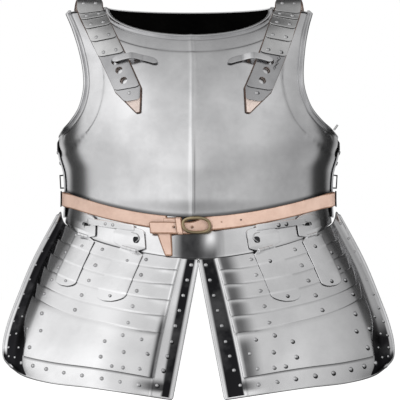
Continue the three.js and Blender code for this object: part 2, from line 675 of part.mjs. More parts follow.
function belt() {
  const at = (u, v) => onBelt(u, v, BELT_THICKNESS);
  const reach = (out) => acrossOf(out, -TORSO_DROP);
  const rightEnd = reach(-RIGHT_BELT_OUT);
  const right = grid(steps(18, -BELT_END, rightEnd), [-1, 1], at);
  const tab = (u, v) => onSkirtAt(u, v, LEATHER_GAP + BELT_THICKNESS);
  const tabRun = steps(4, -RIGHT_BELT_OUT - 3, BUCKLE_SHIFT - BUCKLE_HALF_LENGTH - 3);
  const doubled = grid(tabRun, [TAB_LOW, TAB_HIGH], tab);
  const made = solid(plate([right], BELT_THICKNESS)).add(solid(plate([doubled], BELT_THICKNESS)));
  add("belt_right", geometryOf(made), TAN_LEATHER);

  // The other half runs under the buckle, then lower down and over the first half.
  const free = [...steps(12, BELT_END, reach(BUCKLE_OUT + 8)), ...steps(11, BUCKLE_OUT + 2, -TONGUE_OUT)];
  const under = (u, v) => {
    const out = u;
    const s = smoothstep(-out, -BUCKLE_OUT - 2, 6);
    const width = lerp(BELT_WIDTH, TONGUE_WIDTH, s);
    const z = lerp(beltMiddle(0), TONGUE_MIDDLE, s) + (v * width) / 2;
    const rise = smoothstep(-out, KEEPER_OUT + KEEPER_HALF_WIDTH, RIGHT_BELT_OUT - 4);
    return onSkirtAt(out, z, lerp(LEATHER_GAP, beltOver, rise) + BELT_THICKNESS);
  };
  const joined = (u, v) => (free.indexOf(u) <= 12 ? onBelt(u, v, BELT_THICKNESS) : under(u, v));
  add("belt_left", plate([grid(free, [-1, 1], joined, true)], BELT_THICKNESS), TAN_LEATHER);

  // The end of that half, turned down behind itself.
  const hang = (u, v) => {
    const half = lerp(BELT_WIDTH / 2, TIP_HALF_WIDTH, v ** 1.4);
    const out = lerp(-TIP_TOP_OUT, -TIP_END_OUT, v) + u * half;
    return onSkirtAt(out, lerp(TIP_TOP, TIP_END, v), LEATHER_GAP + BELT_THICKNESS);
  };
  add("belt_tip", plate([grid([-1, 1], steps(4), hang, true)], BELT_THICKNESS), TAN_LEATHER);

  const hug = (u, v) => {
    const low = Math.abs(v) > 1;
    const z = (TAB_HIGH + TONGUE_MIDDLE - TONGUE_WIDTH / 2) / 2 + v * KEEPER_HALF_HEIGHT;
    return onSkirtAt(u, z, (low ? LEATHER_GAP : beltOver + 0.3) + KEEPER_THICKNESS);
  };
  const keeperSides = [-KEEPER_OUT - KEEPER_HALF_WIDTH, -KEEPER_OUT + KEEPER_HALF_WIDTH];
  const keeper = grid(keeperSides, [-1.1, -1, 0, 1, 1.1], hug);
  add("belt_keeper", plate([keeper], KEEPER_THICKNESS), TAN_LEATHER);

  const oval = steps(16).slice(1).map((share) => {
    const angle = share * 2 * Math.PI;
    const x = Math.sign(Math.cos(angle)) * Math.abs(Math.cos(angle)) ** 0.8 * BUCKLE_HALF_LENGTH;
    const z = Math.sign(Math.sin(angle)) * Math.abs(Math.sin(angle)) ** 0.8 * BUCKLE_HALF_HEIGHT;
    return onSkirtAt(x + BUCKLE_SHIFT, BUCKLE_MIDDLE + z, beltOver + LEATHER_GAP / 2 + BUCKLE_WIRE);
  });
  add("buckle_frame", wire(oval, BUCKLE_WIRE, true, 20, 6), BRASS);

  for (const side of [-1, 1]) {
    const flap = (u, v) => onBelt(side * u, v * 1.2, BELT_THICKNESS + 0.4 + PLATE);
    const width = BELT_TAB_WIDTH / (Math.PI * ARMPIT_HALF_WIDTH);
    const surface = grid(steps(3, 1 - width, 1 + width), [-1, 0, 1], flap, side < 0);
    add("belt_tab_" + (side < 0 ? "right" : "left"), plate([surface], PLATE), DARK_STEEL);
  }
}

// Skirt edge at a distance from the middle plane.
function edgeAcross(out) {
  let across = 0.5;
  for (let i = 0; i < 12; i++) across = acrossOf(out, skirtEdge(across));
  return across;
}

function hingeFrame(side) {
  const point = (out) => {
    const across = edgeAcross(out);
    return onTorso(side * across, skirtEdge(across) - TASSET_GAP / 2, hingeHeight);
  };
  const outer = point(OUTER_HINGE_OUT);
  const inner = point(INNER_HINGE_OUT);
  return { outer, inner, along: inner.clone().sub(outer).normalize() };
}
const leafHeight = SKIRT_FLARE + 0.5; // underside of an upper leaf above the torso's surface
const hingeHeight = leafHeight + LEAF + HINGE_RISE;

// Tasset surface: u from the inner to the outer edge, v from the upper to the lower edge.
function tassetCurves(side) {
  const end = skirtEnd();
  const inset = TASSET_MIDDLE_GAP / 2;
  const upper = [inset, 45, 80, INNER_HINGE_OUT, 142, OUTER_HINGE_OUT, 200].map((out) => {
    const across = edgeAcross(out);
    return onTorso(across, skirtEdge(across) - TASSET_GAP, 0);
  });
  const corner = onTorso(end, skirtEdge(end), 0);
  upper.push(corner.clone().add(new THREE.Vector3(TASSET_GAP, 0, -TASSET_GAP / 2)));
  const tip = corner.clone().add(new THREE.Vector3(TASSET_TIP_OUT, TASSET_TIP_OUT, TASSET_TIP_RISE));
  upper.push(tip);
  const start = upper[0];
  const foot = start.clone().add(new THREE.Vector3(TASSET_INNER_SLANT, -TASSET_KICK, -TASSET_DROP));
  const outer = TASSET_OUTER.map(
    ({ out, fore, down }) =>
      new THREE.Vector3(tip.x + out * TASSET_SPREAD, tip.y - fore * TASSET_DROP, tip.z - down * TASSET_DROP),
  );
  const heel = outer.at(-1);
  const lower = TASSET_LOWER.map(({ along, bow, sag }) => {
    const p = foot.clone().lerp(heel, along);
    return new THREE.Vector3(p.x, p.y - bow * TASSET_DROP, p.z - sag * TASSET_DROP);
  });
  const mirror = (points) =>
    new THREE.CatmullRomCurve3(points.map((p) => new THREE.Vector3(side * (p.x - LEAN) + LEAN, p.y, p.z)));
  return {
    upper: mirror(upper),
    lower: mirror(lower),
    inner: new THREE.LineCurve3(mirror(upper).getPoint(0), mirror(lower).getPoint(0)),
    outer: mirror(outer),
  };
}

const tassets = new Map([-1, 1].map((side) => [side, tassetCurves(side)]));

function tassetBase(side, u, v) {
  const { upper, lower, inner, outer } = tassets.get(side);
  const a = clamp(u, 0, 1);
  const b = clamp(v, 0, 1);
  const p = upper.getPoint(a).multiplyScalar(1 - b).addScaledVector(lower.getPoint(a), b);
  p.addScaledVector(inner.getPoint(b), 1 - a).addScaledVector(outer.getPoint(b), a);
  p.addScaledVector(upper.getPoint(0), -(1 - a) * (1 - b)).addScaledVector(upper.getPoint(1), -a * (1 - b));
  p.addScaledVector(lower.getPoint(0), -(1 - a) * b).addScaledVector(lower.getPoint(1), -a * b);
  return p;
}

function onTasset(side, u, v, height = 0) {
  const n = normalOf((a, b) => tassetBase(side, a, b), u, v, 0.01, 0.01).multiplyScalar(-side);
  return tassetBase(side, u, v).addScaledVector(n, height);
}

// Embossing: the field stands above the border, and each false lame swells towards its lower edge.
function relief(u, v) {
  if (u < BORDER_SIDE || u > 1 - BORDER_SIDE || v > BORDER_LOWER) return 0;
  const lines = [0, ...LAME_LINES];
  const i = lines.findLastIndex((line) => v >= line);
  if (i === lines.length - 1) return FIELD_RISE;
  return FIELD_RISE + (LAME_STEP * (v - lines[i])) / (lines[i + 1] - lines[i]);
}

function tasset(side, name) {
  const sill = 0.008;
  const inField = steps(6, BORDER_SIDE, 1 - BORDER_SIDE);
  const us = [0, BORDER_SIDE - sill, ...inField, 1 - BORDER_SIDE + sill, 0.95, 1];
  const vs = [0, ...LAME_LINES.flatMap((line) => [line - 0.0001, line + sill]), 0.71, BORDER_LOWER];
  vs.push(BORDER_LOWER + sill, 1);
  const at = (u, v) => onTasset(side, u, v, relief(u, v));
  add("tasset_" + name, plate([grid(us, vs, at, side > 0)], PLATE), STEEL);
}

// Hinges: a leaf riveted to the skirt and a leaf riveted to the tasset share three knuckles on the axis.
const HINGES = [
  {
    name: "outer", out: OUTER_HINGE_OUT, half: 17, barrel: 10,
    rise: 32, arch: 10, reach: 50, drift: -1, point: 7,
  },
  {
    name: "inner", out: INNER_HINGE_OUT, half: 24, barrel: 15,
    rise: 32, arch: 7, reach: 64, drift: 5, point: 9,
  },
];

function hinge(side, name, { name: place, out, half, barrel, rise, arch, reach, drift, point }) {
  const { outer, inner, along } = hingeFrame(side);
  const middle = place === "outer" ? outer : inner;
  const on = (t) => middle.clone().addScaledVector(along, t);
  const knuckle = barrel / 3;
  const run = (from, to, radius, sides = 8) => solid(bar(on(from), on(to), radius, sides));
  const bore = run(-barrel - 2, barrel + 2, HINGE_PIN_RADIUS + HINGE_PLAY, 6);
  const clear = HINGE_RADIUS + HINGE_PLAY;
  const label = name + "_" + place;

  const edge = (x) => skirtEdge(edgeAcross(x));
  const upperAt = (u, v) => {
    const x = out + u * half;
    const round = arch * (1 - Math.sqrt(1 - 0.94 * u * u));
    if (v === 1) return on(clamp(-u * half, -barrel, barrel));
    const z = lerp(edge(out) + rise - round, edge(x) + TASSET_GAP, v);
    const across = acrossOf(x, z);
    return onTorso(side * across, z, Math.max(skirtHeight(across, z), 0) + LEAF_GAP + LEAF);
  };
  const upperLeaf = plate([grid(steps(6, -1, 1), [0, 0.5, 0.99, 1], upperAt, side > 0)], LEAF);
  let upper = solid(upperLeaf).subtract(run(-knuckle - HINGE_PLAY, knuckle + HINGE_PLAY, clear));
  upper = upper.add(run(-barrel, -knuckle - HINGE_PLAY / 2, HINGE_RADIUS));
  upper = upper.add(run(knuckle + HINGE_PLAY / 2, barrel, HINGE_RADIUS));
  add("hinge_upper_" + label, geometryOf(upper.subtract(bore)), STEEL);

  const { upper: top } = tassets.get(side);
  const uOf = (x) => {
    let u = 0.5;
    for (let i = 0; i < 30; i++) u += (x - Math.abs(top.getPoint(u).x - LEAN)) / 260;
    return u;
  };
  const lowerAt = (a, b) => {
    if (b === 0) return on(clamp(-a * half, -barrel, barrel));
    const width = half * 0.9 * Math.sqrt(Math.max(0, 1 - b ** 3)) + point * b ** 3;
    const x = out + drift * b + a * Math.min(width, barrel + 4);
    const v = (b * reach) / TASSET_DROP;
    return onTasset(side, uOf(x), v, relief(0.5, 0) + LAME_STEP + LEAF_GAP + LEAF);
  };
  const lowerLeaf = plate([grid(steps(4, -1, 1), [0, 0.1, 0.35, 0.6, 0.8, 0.93, 1], lowerAt, side > 0)], LEAF);
  let lower = solid(lowerLeaf).subtract(run(-barrel - 8, -knuckle, clear));
  lower = lower.subtract(run(knuckle, barrel + 8, clear));
  lower = lower.add(run(-knuckle + HINGE_PLAY / 2, knuckle - HINGE_PLAY / 2, HINGE_RADIUS));
  add("hinge_lower_" + label, geometryOf(lower.subtract(bore)), STEEL);
  add("hinge_pin_" + label, bar(on(-barrel), on(barrel), HINGE_PIN_RADIUS, 6), STEEL);
}

// Catch bar: riveted to the skirt between the two leaves, with a finger over each.
function catchBar(side, name) {
  const at = (v, u) => {
    const s = THREE.MathUtils.inverseLerp(CATCH_INNER_OUT, CATCH_OUTER_OUT, u);
    const z = lerp(CATCH_INNER_DROP, CATCH_OUTER_DROP, s) + v * CATCH_HALF_WIDTH;
    const across = acrossOf(u, z);
    const leaves = LEAF_GAP * 3 + LEAF + Math.max(skirtHeight(across, z), 0);
    return onTorso(side * across, z, leaves + CATCH_THICKNESS);
  };
  const surface = grid([-1, 1], steps(6, CATCH_INNER_OUT, CATCH_OUTER_OUT), at, side > 0);
  let made = solid(plate([surface], CATCH_THICKNESS));
  for (const out of CATCH_RIVETS) {
    const s = THREE.MathUtils.inverseLerp(CATCH_INNER_OUT, CATCH_OUTER_OUT, out);
    const z = lerp(CATCH_INNER_DROP, CATCH_OUTER_DROP, s);
    const across = acrossOf(out, z);
    const from = skirtHeight(across, z) + LEAF_GAP;
    made = made.add(solid(bar(onTorso(side * across, z, from), onTorso(side * across, z, 6), PEG_RADIUS, 8)));
  }
  add("catch_bar_" + name, geometryOf(made), STEEL);
}

// Wire staple on each flank of the backplate.
function sideLoop(side, name) {
  const on = (z, height) => onTorso(side * LOOP_ACROSS, z, PLATE + LAP_GAP + height);
  const [high, low] = [LOOP_MIDDLE + LOOP_HALF_HEIGHT, LOOP_MIDDLE - LOOP_HALF_HEIGHT];
  const corners = [on(high, 0.4), on(high, LOOP_OUT), on(low, LOOP_OUT), on(low, 0.4)];
  const past = corners[1].clone().sub(corners[2]).setLength(LOOP_WIRE);
  const upright = bar(corners[1].clone().add(past), corners[2].clone().sub(past), LOOP_WIRE, 6);
  const made = solid(upright)
    .add(solid(bar(corners[0], corners[1], LOOP_WIRE, 6)))
    .add(solid(bar(corners[2], corners[3], LOOP_WIRE, 6)));
  add("side_loop_" + name, geometryOf(made), DARK_STEEL);
}

function armholeStud() {
  const offLevel = (p) => Math.abs(p.y - STUD_DROP);
  const edge = armhole.getPoints(60).reduce((a, b) => (offLevel(b) < offLevel(a) ? b : a));
  const from = onTorso(acrossOf(edge.x, edge.y), edge.y, ROLL_RADIUS * 2 - 1);
  const to = from.clone().add(new THREE.Vector3(0.58, -0.1, 0.8).setLength(STUD_LENGTH));
  add("armhole_stud", bar(from, to, STUD_RADIUS, 8), STEEL);
}

belt();
breastplate();
backplate();
skirt();
strap(-1, "right");
strap(1, "left");
swivelHook(-1, "right");
swivelHook(1, "left");
tasset(-1, "right");
tasset(1, "left");
for (const side of [-1, 1]) {
  const name = side < 0 ? "right" : "left";
  for (const sizes of HINGES) hinge(side, name, sizes);
  catchBar(side, name);
  sideLoop(side, name);
}
armholeStud();

export default group;
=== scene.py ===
"""Pikeman's cuirass: polished steel plates, scaled leather shoulder straps, waist belt and hinged tassets.
The shapes are worked out in millimetres, in the CAD frame, and go into Blender in metres."""

import math

import bpy
import numpy as np
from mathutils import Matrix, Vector


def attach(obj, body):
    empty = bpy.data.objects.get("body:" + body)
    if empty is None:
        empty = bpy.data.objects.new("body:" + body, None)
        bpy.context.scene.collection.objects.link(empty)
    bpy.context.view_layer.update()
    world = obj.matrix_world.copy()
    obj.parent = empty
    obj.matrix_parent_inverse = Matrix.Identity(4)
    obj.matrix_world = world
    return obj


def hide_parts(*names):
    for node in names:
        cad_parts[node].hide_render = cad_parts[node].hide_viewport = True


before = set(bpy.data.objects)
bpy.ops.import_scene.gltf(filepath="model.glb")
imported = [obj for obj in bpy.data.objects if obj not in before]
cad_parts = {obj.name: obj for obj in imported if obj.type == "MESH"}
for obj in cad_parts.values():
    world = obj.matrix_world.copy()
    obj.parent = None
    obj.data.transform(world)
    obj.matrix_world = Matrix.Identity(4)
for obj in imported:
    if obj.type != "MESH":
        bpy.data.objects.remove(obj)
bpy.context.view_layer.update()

# Torso
TORSO_DROP = 338.0
ARMPIT_HALF_WIDTH = 226.0
BELLY_DEPTH = 156.0
BACK_DEPTH = 115.0
RIDGE_RISE = 15.0
RIDGE_REACH = 150.0
RIDGE_SHIFT = 9.6
LEAN = 16.0
LEAN_DROP = 216.0
PLATE = 2.0
LAP_GAP = 1.35
LAP_LENGTH = 15.0
ROLL_RADIUS = 3.4
ROLL_TIP = 0.6
WAIST_RISE = 38.0
NECK_HALF_WIDTH = 133.0
NECK_DROP = 51.5
NECK_HEIGHT = 44.0
BACK_NECK_DROP = 13.0
BACK_NECK_HEIGHT = 9.0
BACK_SIDE_DROP = 340.0
ROLL_CLEARANCE = 0.06
BACK_TOP_GAP = 25.0
BACK_ARMHOLE_FROM = 0.07
SIDE_RIVETS = (-236.0, -253.0)
SIDE_RIVET_ACROSS = 0.985
NECK_FROM = 2 / 3
ARM_FROM = 1 / 3
NECK_BORDER = 23.0
ARM_BORDER = 29.0
BORDER_STEP = 1.5
# Painted shade on the plain rims of plates that carry painted shade, from 0 to 1.
RIM_SHADE = 0.85
GROOVE_IN = 3.5
GROOVE_DEPTH = 0.6
RIDGE_BEAD = 0.85
RIDGE_BEAD_HALF = 3.8
BORDER_SOFT = 1.6
GROOVE_HALF = 1.1
# Painted shade on the breastplate, as dark lines: in the groove, along the border step, along the lower edge
# and beside the ridge; how dark each is, from 0 to 1, and where it lies.
GROOVE_SHADE = 0.35
BORDER_SHADE = 0.16
WAIST_SHADE = 0.75
WAIST_SHADE_RISE = (1, 7)
RIDGE_SHADE = 0.4
RIDGE_SHADE_OUT = 3.2
RIDGE_SHADE_HALF = 1.5
RIDGE_SHADE_DROP = (190, 250)

# Shoulder straps
STRAP_HALF_WIDTH = 19.5
STRAP_TOP_OUT = 163.0
STRAP_SLANT = 0.44
STRAP_TILT = 0.17
STRAP_LENGTH = 172.0
STRAP_TAPER_FROM = 137.0
STRAP_TIP_HALF_WIDTH = 2.5
STRAP_BACK_LENGTH = 46.0
STRAP_BRIDGE = 9.0
STRAP_CROWN = 15.0
LEATHER = 2.6
SEAT_GAP = 1.5
SCALE_THICKNESS = 1.3
SCALE_LIFT = 2.3
SCALE_OVERLAP = 3.0
SCALE_GAP = 0.65
HOLE_RADIUS = 6.2
HOOK_HALF_WIDTH = 3.6
HOOK_THICKNESS = 2.0
HOOK_INNER_OUT = 57.0

# Belt
BELT_WIDTH = 19.5
BELT_THICKNESS = 2.6
BELT_GAP = 0.8
BELT_TAB_WIDTH = 24.0
BELT_END = 1.25
LEATHER_GAP = 0.9
RIGHT_BELT_OUT = 44.0
TAB_HIGH = -341.5
TAB_LOW = -346.8
BUCKLE_HALF_LENGTH = 20.5
BUCKLE_HALF_HEIGHT = 12.5
BUCKLE_WIRE = 2.1
BUCKLE_SHIFT = 4.0
BUCKLE_SQUARE = 0.8
BUCKLE_MIDDLE = -352.5
BUCKLE_OUT = BUCKLE_SHIFT + BUCKLE_HALF_LENGTH
TONGUE_OUT = 69.0
TONGUE_MIDDLE = -356.5
TONGUE_WIDTH = 16.0
TIP_TOP_OUT = 50.0
TIP_END_OUT = 46.0
TIP_TOP = -358.0
TIP_END = -400.0
TIP_HALF_WIDTH = 4.0
KEEPER_OUT = 23.4
KEEPER_HALF_WIDTH = 3.5
KEEPER_HALF_HEIGHT = 12.2
KEEPER_THICKNESS = 1.6
BELT_OVER = BELT_THICKNESS + LEATHER_GAP * 2 + 0.2
# Columns: out, height above the plate.
BELT_HOLES = ((46.0, BELT_THICKNESS - 0.3), (76.0, BELT_THICKNESS - 0.3))
TONGUE_HOLES = ((-32.0, BELT_OVER + BELT_THICKNESS - 0.3), (-3.0, LEATHER_GAP + BELT_THICKNESS + 1.5))

# Skirt and tassets
SKIRT_DROP = 65.0
SKIRT_RISE = 57.0
SKIRT_UNDERLAP = 12.0
SKIRT_FLARE = 2.5
SKIRT_TURN = 1.8
HOLLOW_HALF_WIDTH = 44.0
HOLLOW_DEPTH = 18.0
SKIRT_END_SHARE = 0.955
SKIRT_END_SHORTER = 0.975
# Painted light on the skirt: the flute's painted shade, the painted glint in it (across, down, half width, half
# height) and the painted shade of its ends.
FLUTE_SHADE = 0.92
FLUTE_FADES = (0.55, 1.0)
GLINT = (0.45, 0.45, 0.28, 0.3)
GLINT_CLEARS = 0.95
FLANK_SHADE = 0.75
FLANK_OUT = (198, 206)
TASSET_GAP = 4.0
TASSET_MIDDLE_GAP = 3.0
TASSET_DROP = 219.0
TASSET_SPREAD = 88.0
TASSET_KICK = 50.0
TASSET_TIP_OUT = 8.0
TASSET_TIP_RISE = 14.0
TASSET_INNER_SLANT = 42.0
FIELD_RISE = 1.8
LAME_STEP = 1.2
BORDER_SIDE = 0.078
BORDER_OUTER = 0.83
SERRATION = 0.03
WEDGE = 1.0
BORDER_WIDENS = 0.025
BORDER_NARROWS = 0.06
BEAD_RISE = 1.0
KEYHOLE_SIDES = 20
STAPLE_RADIUS = 0.75
TASSET_ROLL = 2.3

# Hinges and catches
HINGE_RADIUS = 3.1
BARREL_SIDES = 24
HINGE_PLAY = 0.35
HINGE_RISE = 2.2
LEAF = 1.5
LEAF_GAP = 0.5
LEAF_FOLLOWS = 0.5
LEAF_BULGE = 1.2
LEAF_RIVETS = ((0.2, -0.1), (0.9, 0.0))
OUTER_HINGE_OUT = 178.0
INNER_HINGE_OUT = 106.0
LEAF_HEIGHT = SKIRT_FLARE + 0.5
HINGE_HEIGHT = LEAF_HEIGHT + LEAF + HINGE_RISE
CATCH_INNER_OUT = 97.0
CATCH_OUTER_OUT = 171.0
CATCH_INNER_DROP = -357.0
CATCH_OUTER_DROP = -346.0
CATCH_HALF_WIDTH = 4.0
CATCH_THICKNESS = 1.8
CATCH_RIVETS = (130.0, 142.0)

# Columns: down, wide, deep, ridge, square.
FRONT = np.array([
    (0.0, 0.945, 0.14, 0.0, 2.3),
    (0.05, 0.945, 0.27, 0.0, 2.3),
    (0.15, 0.92, 0.56, 0.05, 2.3),
    (0.3, 0.905, 0.75, 0.35, 2.3),
    (0.47, 0.935, 0.88, 0.6, 2.3),
    (0.64, 1.0, 0.95, 0.8, 2.25),
    (0.72, 0.984, 0.98, 0.9, 2.2),
    (0.8, 0.952, 1.0, 1.0, 2.1),
    (0.91, 0.945, 0.985, 1.0, 2.0),
    (1.0, 0.95, 0.95, 0.75, 1.9),
    (1.06, 0.955, 0.99, 0.4, 1.8),
    (1.2, 0.975, 1.12, 0.0, 1.65),
    (1.3, 0.985, 1.2, 0.0, 1.65),
])
BACK = np.array([
    (0.0, 0.945, 0.2, 0, 2.3),
    (0.05, 0.945, 0.4, 0, 2.3),
    (0.15, 0.92, 0.68, 0, 2.3),
    (0.3, 0.905, 0.88, 0, 2.3),
    (0.47, 0.935, 0.98, 0, 2.3),
    (0.64, 1.0, 1.0, 0, 2.25),
    (0.72, 0.984, 0.96, 0, 2.2),
    (0.8, 0.952, 0.89, 0, 2.15),
    (0.91, 0.945, 0.8, 0, 2.1),
    (1.0, 0.95, 0.86, 0, 2.1),
    (1.06, 0.955, 0.96, 0, 2.1),
    (1.3, 0.985, 1.1, 0, 2.1),
])
WIDE, DEEP, RIDGE, SQUARE = 1, 2, 3, 4
# Columns: down, wide.
ARMHOLE = np.array([
    (0.627, 0.998), (0.604, 0.962), (0.556, 0.885), (0.488, 0.812), (0.4, 0.77),
    (0.314, 0.765), (0.207, 0.787), (0.109, 0.822), (0.036, 0.86),
])
SCALE_ENDS = (0.085, 0.138, 0.221, 0.335, 0.47, 0.785, 0.895)
SCALE_NAMES = ("first", "second", "third", "fourth", "fifth", "pierced", "end")
STRAP_HOLES = (0.535, 0.62, 0.715)
# Columns: out, fore, down.
TASSET_OUTER = np.array([
    (0, 0, 0), (0.47, 0.17, 0.357), (0.72, 0.28, 0.6), (0.92, 0.37, 0.82),
    (1.0, 0.43, 0.968), (0.99, 0.46, 1.06), (0.88, 0.5, 1.12),
])
# Columns: along, bow, sag.
TASSET_LOWER = np.array([
    (0, 0, 0), (0.25, 0.17, 0.01), (0.5, 0.23, 0.025), (0.75, 0.19, 0.05), (0.92, 0.08, 0.04), (1, 0, 0),
])
# False lames of a tasset: where each line meets the inner edge, and how it climbs outwards.
# Columns: start, climb.
LAME_LINES = np.array([
    (0.082, 0.036), (0.187, 0.1), (0.305, 0.18), (0.425, 0.225), (0.555, 0.295), (0.885, 0.2),
])
LAST_LAME = len(LAME_LINES)
# Rivet heads: radius and rise.
HEAD_SIZES = {
    "side": (3.0, 1.6), "strap": (3.1, 1.7), "hook": (3.4, 1.9), "belt hole": (1.7, 0.45),
    "leaf": (2.6, 1.6), "catch": (2.9, 1.7),
}
# Rivets on the scales. Columns: along the strap, share of its half width.
FIRST_SCALE_RIVETS = ((-30, 0.5), (-30, -0.5), (-12, 0.5), (-12, -0.5), (6, 0.5), (6, -0.5))
# Rivets of the other scales: how far in from the scale's end, and off the strap's middle.
SCALE_RIVET_IN = 4.6
SCALE_RIVET_OFF = 0.5
END_SCALE_RIVET_IN = 11
SCALE_CORNER = 2.2
FIRST_DULL_SCALE = 5
LEATHER_HOLE_WIDER = 1.4
HOOK_BOW = 7
HOOK_PIVOT_IN = 7
HOOK_PEG_RADIUS = 2.6
# The wire through the left strap. Columns: sideways in waves, along the strap from the first hole.
STRAP_WIRE = ((0.3, -9), (-0.25, -5), (0.25, -1), (-0.2, 3), (0.3, 7), (-0.1, 11))
STRAP_WIRE_RADIUS = 0.55
# Rows of faces in each false lame of the mesh, and in the borders above and below them.
LAME_ROWS = (8, 11, 12, 13, 14, 22, 10)
# Rivets of a tasset. Columns: u (inner edge to outer edge), v (top to bottom).
BORDER_RIVETS = (
    (0.024, 0.04), (0.028, 0.147), (0.032, 0.257), (0.036, 0.365), (0.041, 0.475), (0.045, 0.59),
    (0.052, 0.697), (0.06, 0.803), (0.078, 0.92), (0.165, 0.93), (0.255, 0.922), (0.345, 0.908),
    (0.44, 0.893), (0.525, 0.874), (0.615, 0.85), (0.7, 0.83), (0.785, 0.82),
)
EDGE_RIVETS = (
    (0.965, 0.03), (0.962, 0.08), (0.95, 0.122), (0.946, 0.173), (0.944, 0.245), (0.95, 0.323), (0.95, 0.398),
    (0.948, 0.473), (0.948, 0.573), (0.94, 0.68), (0.932, 0.787), (0.86, 0.43), (0.868, 0.545), (0.818, 0.652),
    (0.85, 0.77),
)
FIELD_RIVETS = (
    (0.718, 0.085), (0.718, 0.147), (0.728, 0.21), (0.745, 0.29), (0.712, 0.4), (0.682, 0.505), (0.775, 0.497),
    (0.73, 0.642), (0.525, 0.032), (0.522, 0.105), (0.522, 0.18), (0.53, 0.27), (0.537, 0.362),
    (0.253, 0.035), (0.253, 0.124), (0.252, 0.225), (0.254, 0.33), (0.258, 0.443),
    (0.272, 0.532), (0.178, 0.568), (0.358, 0.575), (0.252, 0.665), (0.142, 0.678), (0.362, 0.705),
    (0.245, 0.797), (0.3, 0.787), (0.168, 0.8),
)
# Radius, rise and places of each kind of rivet.
TASSET_RIVETS = {
    "border": ((3.4, 3.0), BORDER_RIVETS),
    "edge": ((2.2, 2.0), EDGE_RIVETS),
    "field": ((3.3, 2.8), FIELD_RIVETS),
}
# Columns: place, out, half, barrel, rise, arch, reach, drift, point.
HINGES = (
    ("outer", OUTER_HINGE_OUT, 17.0, 10.0, 32.0, 10.0, 50.0, -1.0, 7.0),
    ("inner", INNER_HINGE_OUT, 24.0, 15.0, 32.0, 7.0, 64.0, 5.0, 9.0),
)
# Hole in each upper leaf, drawn as a dark patch of painted shade, from the hinge line: out, up, half width,
# half height, and the staple through it.
HINGE_HOLES = {
    "outer": (-4, 17, 7.0, 3.4, ((-4, -4, 0.4), (-4, 1, 2.2), (3, 2, 2.2), (3.6, -7, 0.4))),
    "inner": (-11, 13, 4.6, 5.2, ((6, 12, 0.4), (-3, 9, 1.6), (-5, 1, 2.4), (1, -4, 0.4))),
}
SIDES = ((-1, "right"), (1, "left"))


def lerp(a, b, t):
    return a + (b - a) * t


def smoothstep(x, low, high):
    t = np.clip((x - low) / (high - low), 0, 1)
    return t * t * (3 - 2 * t)


def unit(v):
    return v / np.maximum(np.linalg.norm(v, axis=-1, keepdims=True), 1e-9)


def rows_of(*runs):
    """Joins runs of evenly spaced values (from, to, steps), each starting where the last ended."""
    out = [np.array([runs[0][0]])]
    for low, high, n in runs:
        out.append(np.linspace(low, high, n + 1)[1:])
    return np.concatenate(out)


def column(rows, key, at):
    x, y = rows[:, 0], rows[:, key]
    slope = np.empty_like(y)
    slope[1:-1] = (y[2:] - y[:-2]) / (x[2:] - x[:-2])
    slope[0], slope[-1] = (y[1] - y[0]) / (x[1] - x[0]), (y[-1] - y[-2]) / (x[-1] - x[-2])
    i = np.clip(np.searchsorted(x, at) - 1, 0, len(x) - 2)
    span = x[i + 1] - x[i]
    s = np.clip((at - x[i]) / span, 0, 1)
    return (
        (1 + 2 * s) * (1 - s) ** 2 * y[i]
        + s * (1 - s) ** 2 * span * slope[i]
        + s * s * (3 - 2 * s) * y[i + 1]
        + s * s * (s - 1) * span * slope[i + 1]
    )


def sizes(front, z):
    """Half width, depth, ridge and exponent at each z; front says where the front's table counts."""
    down = -z / TORSO_DROP

    def pick(key, size_front, size_back):
        return np.where(front, size_front * column(FRONT, key, down), size_back * column(BACK, key, down))

    return (
        pick(WIDE, ARMPIT_HALF_WIDTH, ARMPIT_HALF_WIDTH),
        pick(DEEP, BELLY_DEPTH, BACK_DEPTH),
        pick(RIDGE, RIDGE_RISE, 0),
        pick(SQUARE, 1, 1),
    )


def sway(share, z):
    lean = LEAN * np.minimum(1, -z / LEAN_DROP)
    fade = np.clip((-z - TORSO_DROP) / SKIRT_DROP, 0, 1)
    ridge = np.minimum(lean, (LEAN - RIDGE_SHIFT) * (1 - fade) + LEAN * fade)
    return lean + (ridge - lean) * np.maximum(0, 1 - share * share)


def torso(turned, z):
    """The body's surface: 0 is the front middle, 1 the side and 2 the back middle."""
    turned, z = np.broadcast_arrays(np.asarray(turned, float), np.asarray(z, float))
    across = turned - 4 * np.round(turned / 4)
    front = np.abs(across) <= 1
    angle = (math.pi / 2) * np.where(front, np.abs(across), 2 - np.abs(across))
    wide, deep, ridge, square = sizes(front, z)
    share = np.sin(angle) ** (2 / square)
    x = np.sign(across) * wide * share
    reach = 1 - np.minimum(1, np.abs(x) / RIDGE_REACH)
    y = deep * np.maximum(0, np.cos(angle)) ** (2 / square) + ridge * reach * reach
    return np.stack([x + sway(share, z), np.where(front, -y, y), z], -1)


def across_of(x, z, front=True):
    x, z = np.broadcast_arrays(np.asarray(x, float), np.asarray(z, float))
    wide, _, _, square = sizes(np.full(z.shape, front), z)
    turn = np.arcsin(np.clip(np.abs(x) / wide, 0, 1) ** (square / 2)) / (math.pi / 2)
    return np.sign(x) * (turn if front else 2 - turn)


def normal_of(f, u, v, du, dv):
    return unit(np.cross(f(u + du, v) - f(u - du, v), f(u, v + dv) - f(u, v - dv)))


def on_torso(across, z, height=0.0):
    height = np.asarray(height, float)[..., None]
    return torso(across, z) + normal_of(torso, across, z, 0.004, 0.5) * height


def edge_share(across):
    return np.maximum(0, np.cos((math.pi / 2) * np.minimum(1, np.abs(across))))


def lower_edge(across):
    return -TORSO_DROP + WAIST_RISE * (1 - edge_share(across) ** 2.2)


def skirt_edge(across):
    return -TORSO_DROP - SKIRT_DROP + SKIRT_RISE * (1 - edge_share(across) ** 1.6)


